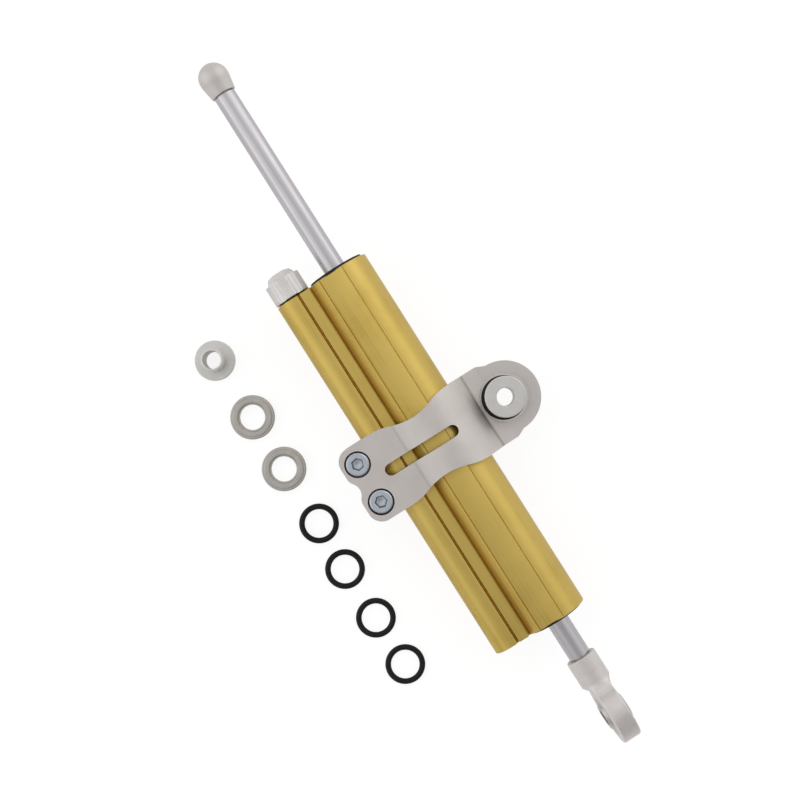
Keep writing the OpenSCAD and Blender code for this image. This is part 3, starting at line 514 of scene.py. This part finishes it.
def softened(node, width, keep, over=28):
    """A copy of a solid with its sharp edges broken, but not those nearer to the pivot's axis than keep"""
    mesh = bmesh.new()
    mesh.from_mesh(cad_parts[node].data)
    bmesh.ops.remove_doubles(mesh, verts=mesh.verts, dist=2e-6)
    bmesh.ops.dissolve_limit(mesh, angle_limit=math.radians(0.6), verts=mesh.verts, edges=mesh.edges)
    sharp = [
        edge for edge in mesh.edges
        if len(edge.link_faces) == 2 and edge.calc_face_angle() > math.radians(over)
        and min(corner.co.xy.length for corner in edge.verts) > keep
    ]
    broad = mesh.faces.layers.int.new("broad")
    for face in mesh.faces:
        face[broad] = 1
    made = bmesh.ops.bevel(
        mesh, geom=sharp, offset=width, segments=3, profile=0.5, affect="EDGES", clamp_overlap=True, miter_outer="ARC"
    )
    for face in made["faces"]:
        face[broad] = 0
    return mesh


def even_normals(data, plane, spread=25):
    """Shades faces larger than plane flat, and lets curved faces and broken edges run into them"""
    broad = data.attributes["broad"].data
    around = {}
    for face in data.polygons:
        if broad[face.index].value:
            for corner in face.vertices:
                around.setdefault(corner, []).append(face)
    limit = math.cos(math.radians(spread))

    def shaded(face, corner):
        if face.area > plane:
            return face.normal
        near = [other for other in around[corner] if other.normal.dot(face.normal) > limit]
        flats = [other for other in near if other.area > plane]
        if flats:
            return max(flats, key=lambda other: other.normal.dot(face.normal)).normal
        ways = []
        for other in near:
            if all(other.normal.dot(way) < 0.99999 for way in ways):
                ways.append(other.normal)
        return sum(ways, Vector()).normalized()

    normals = []
    for face in data.polygons:
        for corner in face.vertices:
            if broad[face.index].value:
                normals.append(shaded(face, corner))
                continue
            best = max(around.get(corner, ()), key=lambda other: other.normal.dot(face.normal), default=None)
            normals.append(shaded(best, corner) if best and best.normal.dot(face.normal) > 0.3 else Vector())
    data.normals_split_custom_set(normals)


def piece(name, mesh, finish, body, nodes=(), at=None, sharp=32, plane=None):
    """Makes an object of a mesh, in its place, riding on a body"""
    bmesh.ops.recalc_face_normals(mesh, faces=mesh.faces)
    data = bpy.data.meshes.new(name)
    mesh.to_mesh(data)
    mesh.free()
    data.shade_smooth()
    data.set_sharp_from_angle(angle=math.radians(sharp))
    made = bpy.data.objects.new(name, data)
    bpy.context.scene.collection.objects.link(made)
    if at is not None:
        made.matrix_world = at
    data.materials.append(finish)
    if plane:
        even_normals(data, plane)
    else:
        level = made.modifiers.new("level_normals", "WEIGHTED_NORMAL")
        level.keep_sharp = True
    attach(made, body)
    if nodes:
        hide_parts(*nodes)
    return made


def paint(finish, *nodes):
    """Gives solids that stay as they are their finish"""
    for node in nodes:
        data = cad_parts[node].data
        data.materials.clear()
        data.materials.append(finish)
        for face in data.polygons:
            face.material_index = 0


TURNS = {
    "Z": Matrix.Identity(4),
    "-Z": Matrix.Rotation(math.pi, 4, "X"),
    "X": Matrix.Rotation(math.pi / 2, 4, "Y"),
    "-X": Matrix.Rotation(-math.pi / 2, 4, "Y"),
}


def facing(x, y, z, towards="Z"):
    """A place whose Z axis points along an axis of the part"""
    return Matrix.Translation((x, y, z)) @ TURNS[towards]


# Pieces

class Build:
    """An operator that makes its pieces from the scene's sizes"""

    def execute(self, context):
        self.build(context.scene.damper_sizes)
        return {"FINISHED"}


def body_outline(sizes):
    """Section of the extrusion, across and up from the rod's axis"""
    side = sizes.side_y - sizes.rod_y
    tilt = sizes.flat_tilt
    half = math.asin(sizes.flat_w / 2 / sizes.tube_r)
    middle = math.pi / 2 + tilt
    across = Vector((math.cos(tilt), math.sin(tilt)))
    up = Vector((-math.sin(tilt), math.cos(tilt)))
    line, fine = sizes.flat_line, 0.00003
    foot = [
        (sizes.flat_w / 2 - 0.3 * line, sizes.flat_dist - 0.6 * line),
        (sizes.flat_w / 2 - line, sizes.flat_dist),
    ]
    top = arc(0, sizes.tube_r, 0, middle - half, 40)
    top += [(*(across * x + up * y), fine) for x, y in foot]
    for k in range(-7, 8):
        share = -k / 8
        dip = sizes.flat_dip * (1 - share ** 2)
        top.append((*(across * foot[1][0] * share + up * (sizes.flat_dist - dip)), 0))
    top += [(*(up * y - across * x), fine) for x, y in foot[::-1]]
    top += arc(0, sizes.tube_r, middle + half, sizes.valley_from, 14)
    foot_x = sizes.valley_floor - sizes.valley_wall
    foot_y = top[-1][1] - (top[-1][0] - foot_x) * math.tan(sizes.valley_slope)
    groove = side + sizes.groove_off
    top += [
        (foot_x, foot_y, 0.0002),
        (-sizes.valley_wall, foot_y, 0.0001),
        (-sizes.valley_wall, sizes.rib_h, 0.0001),
        (groove + sizes.groove_w / 2, sizes.rib_h, 0.00015),
        (groove, sizes.rib_h - sizes.groove_d, 0.0001),
        (groove - sizes.groove_w / 2, sizes.rib_h, 0),
    ]
    lobe = math.acos((sizes.groove_off - sizes.groove_w / 2) / sizes.side_r)
    top += arc(side, sizes.side_r, lobe, math.pi, 40)
    under = [(x, -y, reach) for x, y, reach in top[-2:0:-1]]
    return rounded(top + under, 3)


class DAMPER_OT_body(Build, bpy.types.Operator):
    """Extruded body with its flats, valley, rib and grooves"""

    bl_idname = "damper.body"
    bl_label = "Body"

    def build(self, sizes):
        outline = body_outline(sizes)
        inner = []
        for back, here, ahead in zip(outline[-1:] + outline[:-1], outline, outline[1:] + outline[:1]):
            run = (ahead - back).normalized()
            inner.append(here - Vector((run.y, -run.x)) * sizes.body_edge)
        low, high = BODY_LOW.x, BODY_HIGH.x
        parts, sides = 12, 96
        stations = [(low, inner), (low + sizes.body_edge, outline)]
        stations += [(low + (high - low) * k / parts, outline) for k in range(1, parts)]
        stations += [(high - sizes.body_edge, outline), (high, inner)]
        mesh = bmesh.new()
        loops = [[mesh.verts.new((x, sizes.rod_y + p.x, p.y)) for p in loop] for x, loop in stations]
        skinned(mesh, loops)
        rims = [[loops[0]], [loops[-1]]]
        turns = [2 * math.pi * k / sides for k in range(sides)]
        for y, radius in ((sizes.rod_y, sizes.bore_r), (sizes.side_y, sizes.side_bore_r)):
            for x, rim in zip((low, high), rims):
                rim.append([mesh.verts.new((x, y + radius * math.cos(t), radius * math.sin(t))) for t in turns])
            skinned(mesh, [rim[-1] for rim in rims])
        for rim in rims:
            edges = []
            for loop in rim:
                for i in range(len(loop)):
                    pair = (loop[i], loop[(i + 1) % len(loop)])
                    edges.append(mesh.edges.get(pair) or mesh.edges.new(pair))
            bmesh.ops.triangle_fill(mesh, edges=edges, use_beauty=True)
        piece(
            "extruded_body", mesh, material(gold_anodised), "cylinder", ["cylinder_body"], sharp=18
        )


def screw_places(sizes):
    """Axes of the two clamp screws"""
    low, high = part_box("clamp_screws")
    return [Vector((x, (low.y + high.y) / 2)) for x in (low.x + sizes.screw_head_r, high.x - sizes.screw_head_r)]


class DAMPER_OT_clamp(Build, bpy.types.Operator):
    """Waisted clamp with its edges broken"""

    bl_idname = "damper.clamp"
    bl_label = "Clamp"

    def build(self, sizes):
        mesh = softened("clamp", sizes.clamp_edge, sizes.clamp_keep)
        strap = piece(
            "clamp_strap", mesh, material(blasted_clamp), "clamp", ["clamp"], sharp=30, plane=8e-5
        )
        strap.data.materials.append(material(clamp_recess))
        # painted shade: the steep walls in the slot and round the screws' counterbores take the dark recess material
        slot_half, slot_low, slot_high, counterbore_r = 0.003, -0.0195, 0.010, 0.005
        screws = screw_places(sizes)
        for face in strap.data.polygons:
            at = face.center
            in_slot = abs(at.x) < slot_half and slot_low < at.y - sizes.rod_y < slot_high
            by_screw = at.z > 0 and min((at.xy - screw).length for screw in screws) < counterbore_r
            steep = abs(face.normal.z) < 0.3
            if steep and (in_slot or by_screw):
                face.material_index = 1


class DAMPER_OT_screws(Build, bpy.types.Operator):
    """Socket screws of the clamp"""

    bl_idname = "damper.screws"
    bl_label = "Clamp screws"

    def build(self, sizes):
        low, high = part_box("clamp_screws")
        head, head_r, pitch, thread_r = sizes.screw_head, sizes.screw_head_r, sizes.screw_pitch, sizes.screw_r
        grip = high.z - low.z - head
        floor = head - sizes.socket_d
        root_r = thread_r - 0.6 * pitch
        apothem = sizes.screw_hex / 2
        corner = apothem / math.cos(math.pi / 6)

        def hexed(radius, height, turn):
            if height < floor - 0.0002 or not 0.5 * corner < radius < 1.15 * corner:
                return radius
            part = (turn + math.pi / 6) % (math.pi / 3) - math.pi / 6
            return radius / corner * apothem / math.cos(part)

        lead, run_out = 0.0006, 0.001
        outline = [(0, -grip), (root_r, -grip), (thread_r - 0.0001, 0.0005 - grip)]
        for k in range(int((grip - lead - run_out) / pitch)):
            base = lead - grip + k * pitch
            for radius, share in ((thread_r, 0.05), (thread_r, 0.15), (root_r, 0.55), (root_r, 0.65)):
                outline.append((radius, base + share * pitch))
        outline += [
            (root_r, -0.0004), (thread_r, 0), (head_r - 0.00025, 0), (head_r, 0.00025), (head_r, head - 0.0006),
            (head_r - 0.00018, head - 0.0002), (head_r - 0.0006, head), (1.08 * corner, head),
            (1.02 * corner, head - 0.00008), (corner, head - 0.0003), (0.80 * corner, floor), (0.0009, floor),
            (0, floor - 0.0003),
        ]
        for k, (place, degrees) in enumerate(zip(screw_places(sizes), (12, -19))):
            mesh = bmesh.new()
            lathe(mesh, outline[::-1], 96, hexed)
            at = facing(*place, high.z - head) @ Matrix.Rotation(math.radians(degrees), 4, "Z")
            nodes = ["clamp_screws"] if k == 0 else []
            screw = piece("clamp_screw_%d" % (k + 1), mesh, metal("zinc_plate"), "clamp", nodes, at, 25)
            # painted shade: the socket's walls take the darker zinc, which stands in for their shade
            screw.data.materials.append(metal("zinc_socket"))
            for face in screw.data.polygons:
                wall = abs(face.normal.z) < 0.5 and face.center.xy.length < corner and face.center.z > 0
                face.material_index = 1 if wall else 0


class DAMPER_OT_knob(Build, bpy.types.Operator):
    """Six-lobed adjuster knob with its six-sided nose"""

    bl_idname = "damper.knob"
    bl_label = "Adjuster knob"

    def build(self, sizes):
        tall = KNOB_HIGH.x - KNOB_LOW.x
        far = sizes.knob_r - sizes.scallop_depth + sizes.scallop_r
        step = 2 * math.pi / sizes.scallops
        nose = tall - sizes.nose_len
        shoulder, blend = 0.0004, 0.00012

        def lobed(radius, height, turn):
            off = (turn % step) - step / 2
            if height > tall - 1.1 * sizes.nose_len:
                return radius * math.cos(step / 2) / math.cos(step / 2 - abs(off))
            inside = sizes.scallop_r ** 2 - (far * math.sin(off)) ** 2
            if inside <= 0:
                return radius
            gap = radius - far * math.cos(off) + math.sqrt(inside)
            return radius - (gap + math.hypot(gap, blend)) / 2 + blend / 2 * (1 if gap < -blend else 0)

        outline = rounded(
            [
                (sizes.recess_r, sizes.recess_d, 0.00005), (sizes.recess_r, 0, 0.0001), (sizes.knob_r, 0, 0.0003),
                (sizes.knob_r, nose - shoulder, 0.0003), (sizes.nose_r, nose, 0.0001),
                (sizes.nose_tip_r, tall - 0.00045, 0.00015), (0.0032, tall, 0.0001), (0, tall), (0, sizes.recess_d),
            ],
            5,
        )
        mesh = bmesh.new()
        lathe(mesh, outline, 240, lobed)
        at = facing(KNOB_HIGH.x, sizes.side_y, 0, "-X")
        piece("lobed_knob", mesh, metal("knob_metal"), "adjuster", ["adjuster_knob"], at, 26)


class DAMPER_OT_cap(Build, bpy.types.Operator):
    """Domed cap on the rod's free end"""

    bl_idname = "damper.cap"
    bl_label = "End cap"

    def build(self, sizes):
        tall = CAP_HIGH.x - CAP_LOW.x
        dome = tall - sizes.cap_r
        hollow_r, hollow, steps = 0.0031, 0.0002, 28
        corners = [
            (0, hollow), (hollow_r, hollow), (sizes.cap_foot_r, 0, 0.0003), (sizes.cap_r, dome - sizes.cap_belt, 0.02)
        ]
        for k in range(steps):
            turn = math.pi / 2 * k / steps
            corners.append((sizes.cap_r * math.cos(turn), dome + sizes.cap_r * math.sin(turn)))
        outline = rounded([*corners, (0, tall)], 6)
        mesh = bmesh.new()
        lathe(mesh, outline, 96)
        at = facing(CAP_HIGH.x, sizes.rod_y, 0, "-X")
        piece("domed_cap", mesh, metal("cap_metal"), "rod", ["rod_cap"], at, 40)


class DAMPER_OT_rod(Build, bpy.types.Operator):
    """Finishes of the rod, the bearings and the pieces inside, and the compensator's spring"""

    bl_idname = "damper.rod"
    bl_label = "Rod and inner pieces"

    def build(self, sizes):
        steel = metal("satin_steel_x")
        paint(material(ground_chrome), "piston_rod")
        paint(steel, "piston", "piston_circlips", "compensator_piston", "adjuster_stem", "detent_spring")
        paint(metal("bearing_steel"), "pivot_race", "pivot_ball", "detent_ball")
        paint(metal("race_steel"), "eye_race")
        paint(metal("oxide_steel"), "eye_ball")
        paint(metal("bronze_metal"), "rod_bushes", "piston_band")
        paint(
            material(black_anodised), "cap_end_gland", "eye_end_gland", "adjuster_housing", "side_plug",
            "knob_grub_screw",
        )
        paint(
            material(moulded_rubber), "gland_o_rings", "rod_seals", "rod_wipers", "housing_o_ring",
            "side_plug_o_ring", "compensator_o_ring", "stem_o_ring",
        )
        low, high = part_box("compensator_spring")
        mesh = bmesh.new()
        coil(mesh, sizes.spring_turns, high.z - sizes.spring_wire, sizes.spring_wire, high.x - low.x)
        at = facing(low.x, (low.y + high.y) / 2, 0, "X")
        spring = piece("round_wire_spring", mesh, steel, "cylinder", ["compensator_spring"], at, 60)
        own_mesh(spring)


def joined(first, second):
    """One mesh of two that overlap"""
    blanks = []
    for mesh in (first, second):
        bmesh.ops.recalc_face_normals(mesh, faces=mesh.faces)
        data = bpy.data.meshes.new("blank")
        mesh.to_mesh(data)
        mesh.free()
        blanks.append(bpy.data.objects.new("blank", data))
        bpy.context.scene.collection.objects.link(blanks[-1])
    union = blanks[0].modifiers.new("union", "BOOLEAN")
    union.operation = "UNION"
    union.solver = "EXACT"
    union.object = blanks[1]
    made = bmesh.new()
    made.from_object(blanks[0], bpy.context.evaluated_depsgraph_get())
    for blank in blanks:
        data = blank.data
        bpy.data.objects.remove(blank)
        bpy.data.meshes.remove(data)
    return made


def shank_section(sizes, x):
    """Half width, half height and corner radius of the rod end's shank and neck at a distance from its face"""
    edge, inset, reach, flare, fade, soft = 0.0006, 0.00003, 0.008, 0.0034, 0.004, 0.0049
    if x < edge:
        radius = sizes.shank_r - edge * (1 - math.sqrt(max(0, 1 - (1 - x / edge) ** 2)))
        return radius, radius, 0.98 * radius
    meet = sizes.eye_dist - reach
    rise = math.sqrt(sizes.eye_r ** 2 - reach ** 2)
    start = sizes.shank_len - edge
    bend = meet - (rise - sizes.shank_r) * rise / reach
    past = max(0, x - sizes.shank_len)
    thin = sizes.blade_t / 2 - inset
    wide = thin + (sizes.shank_r - thin) * (1 - min(1, past / flare)) ** 1.9
    if x <= start:
        high = sizes.shank_r
    elif x < meet:
        # the place on the curve from the shank through the bend to the eye that lies at x
        a, b = start - 2 * bend + meet, 2 * (bend - start)
        t = (math.sqrt(b * b + 4 * a * (x - start)) - b) / (2 * a) if abs(a) > 1e-9 else (x - start) / b
        high = sizes.shank_r * (1 - t * t) + rise * t * t
    else:
        high = math.sqrt(sizes.eye_r ** 2 - (sizes.eye_dist - x) ** 2) - 0.00002
    return wide, high, min(0.98 * min(wide, high), edge + soft * (1 - min(1, past / fade)) ** 2)


class DAMPER_OT_rod_end(Build, bpy.types.Operator):
    """Forged rod end, whose round shank runs into a flat eye"""

    bl_idname = "damper.rod_end"
    bl_label = "Rod end"

    def build(self, sizes):
        neck, end, steps = 0.0096, sizes.eye_dist - 0.0078, 32
        stations = [0, 0.00003, 0.0001, 0.0002, 0.0004, 0.0006, 0.003, 0.006, 0.009]
        stations += [neck + (end - neck) * k / steps for k in range(steps + 1)]
        shank = bmesh.new()
        loops = []
        for x in stations:
            wide, high, corner = shank_section(sizes, x)
            loop = []
            for quarter, (right, up) in enumerate(((1, 1), (-1, 1), (-1, -1), (1, -1))):
                for k in range(12):
                    turn = math.pi / 2 * (quarter + k / 11)
                    y = right * (wide - corner) + corner * math.cos(turn)
                    z = up * (high - corner) + corner * math.sin(turn)
                    loop.append(shank.verts.new((x, y, z)))
            loops.append(loop)
        skinned(shank, loops)
        shank.faces.new(loops[0])
        shank.faces.new(loops[-1])
        half, edge, mouth = sizes.blade_t / 2, 0.0008, 0.00015
        outline = rounded(
            [
                (sizes.eye_seat_r, -half, mouth), (sizes.eye_r, -half, edge), (sizes.eye_r, half, edge),
                (sizes.eye_seat_r, half, mouth),
            ],
            5,
        )
        eye = bmesh.new()
        lathe(eye, outline, 192)
        upright = facing(sizes.eye_dist, 0, 0) @ Matrix.Rotation(math.pi / 2, 4, "X")
        bmesh.ops.transform(eye, matrix=upright, verts=eye.verts)
        place = facing(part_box("rod_end")[0].x, sizes.rod_y, 0) @ Matrix.Rotation(-sizes.eye_roll, 4, "X")
        mesh = joined(shank, eye)
        piece("forged_rod_end", mesh, metal("plated_forging"), "rod", ["rod_end"], place, 30)


def spacer(sizes, name, body, node, tall, at):
    """Flanged spacer with its flange's top at zero"""
    hole_r, flange, edge, mouth = sizes.pivot_hole_r, sizes.flange_t, 0.0003, 0.00025
    outline = rounded(
        [
            (hole_r, 0, mouth), (sizes.spacer_r, 0, edge), (sizes.spacer_r, -flange, edge),
            (sizes.boss_r, -flange, 0.0001), (sizes.boss_r, -tall, edge), (hole_r, -tall, mouth),
        ]
    )
    mesh = bmesh.new()
    lathe(mesh, outline)
    piece(name, mesh, metal("spacer_plate"), body, [node], at)


def seal_ring(name, outer, section, at, body, nodes):
    """O-ring with the fine flash line of its mould, standing on its place"""
    outline = []
    sides, flash, half = 48, 0.00003, section / 2
    for k in range(sides):
        turn = 2 * math.pi * k / sides
        reach = half if k in (0, sides // 2) else half - flash
        outline.append((outer - half + reach * math.cos(turn), half + reach * math.sin(turn)))
    mesh = bmesh.new()
    lathe(mesh, outline, 120)
    piece(name, mesh, material(moulded_rubber), body, nodes, at, 60)


class DAMPER_OT_pivot(Build, bpy.types.Operator):
    """Spacer and seal ring of the pivot in the clamp's ear"""

    bl_idname = "damper.pivot"
    bl_label = "Pivot"

    def build(self, sizes):
        tall = SPACER_HIGH.z - SPACER_LOW.z
        spacer(sizes, "flanged_spacer", "pivot_spacer", "pivot_spacer", tall, facing(0, 0, SPACER_HIGH.z))
        low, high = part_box("pivot_seal_ring")
        at = facing((low.x + high.x) / 2, (low.y + high.y) / 2, low.z)
        seal_ring("pivot_seal", (high.x - low.x) / 2, high.z - low.z, at, "clamp", ["pivot_seal_ring"])


# Places of the loose O-rings along the body, and how far each lies from the outermost line
KIT_O_RINGS = ((0.0033, 0), (0.0223, 0.0009), (0.0432, 0.0009), (0.0631, 0.0009))


class DAMPER_OT_kit(Build, bpy.types.Operator):
    """Loose spacer, rings and O-rings beside the damper"""

    bl_idname = "damper.kit"
    bl_label = "Fitting kit"

    def build(self, sizes):
        low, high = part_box("loose_flanged_spacer")
        at = facing((low.x + high.x) / 2, (low.y + high.y) / 2, low.z, "-Z")
        spacer(sizes, "kit_spacer", "cylinder", "loose_flanged_spacer", high.z - low.z, at)
        low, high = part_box("loose_spacer_rings")
        tall = high.z - low.z
        rim, floor = tall - sizes.ring_rim, tall - sizes.ring_step
        outer, face, hole, fine = sizes.ring_r, sizes.ring_face_r, sizes.ring_hole_r, 0.0001
        outline = rounded(
            [
                (hole, 0, 0.0002), (outer, 0, 0.0004), (outer, rim, 0.0004), (face + sizes.ring_rim, rim, fine),
                (face, tall, fine), (hole + 2 * sizes.ring_step, tall, fine), (hole + sizes.ring_step, floor, fine),
                (hole, floor, 0.0002),
            ],
            5,
        )
        for k, (x, y) in enumerate(((low.x + outer, high.y - outer), (high.x - outer, low.y + outer))):
            mesh = bmesh.new()
            lathe(mesh, outline)
            nodes = ["loose_spacer_rings"] if k == 0 else []
            at = facing(x, y, low.z)
            piece("kit_ring_%d" % (k + 1), mesh, metal("ring_metal"), "cylinder", nodes, at)
        low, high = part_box("loose_o_rings")
        for k, (x, drop) in enumerate(KIT_O_RINGS):
            at = facing(x, high.y - sizes.seal_r - drop, low.z)
            nodes = ["loose_o_rings"] if k == 0 else []
            seal_ring("kit_o_ring_%d" % (k + 1), sizes.seal_r, sizes.seal_d, at, "cylinder", nodes)


class DAMPER_OT_stage(bpy.types.Operator):
    """Floor, soft light and the camera over the damper"""

    bl_idname = "damper.stage"
    bl_label = "Stage"

    def execute(self, context):
        scene = context.scene
        stage = scene.damper_stage
        scene.view_settings.view_transform = "Standard"

        mesh = bmesh.new()
        bmesh.ops.create_grid(mesh, x_segments=8, y_segments=8, size=3)
        data = bpy.data.meshes.new("floor")
        mesh.to_mesh(data)
        mesh.free()
        floor = bpy.data.objects.new("floor", data)
        floor.location.z = TABLE_Z - 0.00005
        scene.collection.objects.link(floor)
        data.materials.append(material(pale_floor))

        world = bpy.data.worlds.new("studio")
        scene.world = world
        studio_world(Shader(world), stage.tent_power)

        target = (0, -0.03, 0)
        softbox("key_softbox", (0.05, 0.75, 0.75), target, (1.5, 1.0), stage.key_power)
        softbox("fill_softbox", (0.0, -0.95, 0.55), target, (1.5, 0.8), stage.fill_power)

        lens = bpy.data.cameras.new("camera")
        lens.sensor_fit = "HORIZONTAL"
        lens.angle = stage.camera_angle
        lens.clip_start = 0.01
        camera = bpy.data.objects.new("camera", lens)
        turn = Matrix.Rotation(stage.camera_turn, 4, "Z")
        camera.matrix_world = facing(stage.camera_x, stage.camera_y, stage.camera_z) @ turn
        scene.collection.objects.link(camera)
        scene.camera = camera
        return {"FINISHED"}


def pale_floor(shader, look):
    """White sheet that is white to the camera and to reflections, and keeps soft shadows"""
    stage = bpy.context.scene.damper_stage
    tooth = shader.noise(shader.place(), 0.4, 3.0)
    base = tuple(stage.floor)
    colour = shader.mix(tooth, times(base, 0.99), base)
    matt = {"Roughness": 1.0, "Specular IOR Level": 0.0}
    lit = shader.node("ShaderNodeBsdfPrincipled", None, {"Base Color": colour, **matt})
    dim = shader.mix(0.74, colour, (0.0, 0.0, 0.0))
    faint = shader.node("ShaderNodeBsdfPrincipled", None, {"Base Color": dim, **matt})
    glow = shader.node("ShaderNodeEmission", None, {"Color": (1, 1, 1, 1), "Strength": stage.floor_glow})
    shown = shader.node("ShaderNodeAddShader", None, {0: faint, 1: glow})
    seen = shader.node("ShaderNodeLightPath", out=0)
    glossy = shader.node("ShaderNodeLightPath", out=3)
    through = shader.node("ShaderNodeLightPath", out=6)
    both = shader.node("ShaderNodeMixShader", None, {0: seen + through + 0.4 * glossy, 1: lit, 2: shown})
    shader.node("ShaderNodeOutputMaterial", None, {"Surface": both})


# The tent's light from the knob's side to the ear's side, and from the cap's end to the eye's end
TENT = (
    (0.00, 0.42), (0.03, 0.62), (0.07, 0.82), (0.14, 0.75), (0.24, 0.66), (0.34, 0.61), (0.44, 0.54),
    (0.50, 0.51), (0.62, 0.50), (0.75, 0.54), (0.86, 0.74), (0.94, 0.96), (0.98, 0.84), (1.00, 0.48),
)
ENDS = (
    (0.0, 0.67), (0.34, 1.0), (0.50, 0.785), (0.62, 0.37), (0.80, 0.39), (0.90, 0.50), (0.96, 0.45), (1.0, 0.30),
)


def studio_world(shader, power):
    """White to the camera; for light and reflections a soft tent, grey overhead and bright at both sides"""
    towards = shader.node("ShaderNodeTexCoord", out=0)

    def ramp(stops, axis):
        share = shader.between(shader.part(towards, axis), -1.0, 1.0)
        return shader.node("ShaderNodeValToRGB", {"stops": stops}, {0: share})

    tent, ends = ramp(TENT, "Y"), ramp(ENDS, "X")
    seen = shader.node("ShaderNodeLightPath", out=0)
    light = shader.node("ShaderNodeBackground", None, {"Color": tent, "Strength": power * ends})
    white = shader.node("ShaderNodeBackground", None, {"Color": (1, 1, 1, 1), "Strength": 1.0})
    mixed = shader.node("ShaderNodeMixShader", None, {0: seen, 1: light, 2: white})
    shader.node("ShaderNodeOutputWorld", None, {"Surface": mixed})


def softbox(name, place, target, size, power):
    """Area light that looks at a target"""
    lamp = bpy.data.lights.new(name, "AREA")
    lamp.shape = "RECTANGLE"
    lamp.size, lamp.size_y = size
    lamp.energy = power
    made = bpy.data.objects.new(name, lamp)
    made.location = place
    made.rotation_euler = (Vector(target) - Vector(place)).to_track_quat("-Z", "Y").to_euler()
    bpy.context.scene.collection.objects.link(made)


OPERATORS = (
    DAMPER_OT_body, DAMPER_OT_clamp, DAMPER_OT_screws, DAMPER_OT_knob, DAMPER_OT_cap, DAMPER_OT_rod,
    DAMPER_OT_rod_end, DAMPER_OT_pivot, DAMPER_OT_kit, DAMPER_OT_stage,
)


class DAMPER_PT_panel(bpy.types.Panel):
    """Lists the damper's sizes, finishes and pieces"""

    bl_label = "Steering damper"
    bl_space_type = "VIEW_3D"
    bl_region_type = "UI"
    bl_category = "Damper"

    def draw(self, context):
        for operator in OPERATORS:
            self.layout.operator(operator.bl_idname)
        for group in (context.scene.damper_sizes, context.scene.damper_finishes, context.scene.damper_stage):
            box = self.layout.box()
            for name in group.__annotations__:
                box.prop(group, name)


CLASSES = (DamperSizes, DamperFinishes, DamperStage, *OPERATORS, DAMPER_PT_panel)


def register():
    for cls in CLASSES:
        bpy.utils.register_class(cls)
    bpy.types.Scene.damper_sizes = PointerProperty(type=DamperSizes)
    bpy.types.Scene.damper_finishes = PointerProperty(type=DamperFinishes)
    bpy.types.Scene.damper_stage = PointerProperty(type=DamperStage)


def unregister():
    del bpy.types.Scene.damper_stage
    del bpy.types.Scene.damper_finishes
    del bpy.types.Scene.damper_sizes
    for cls in reversed(CLASSES):
        bpy.utils.unregister_class(cls)


def main():
    register()
    for operator in OPERATORS:
        group, name = operator.bl_idname.split(".")
        getattr(getattr(bpy.ops, group), name)()


if __name__ == "__main__":
    main()
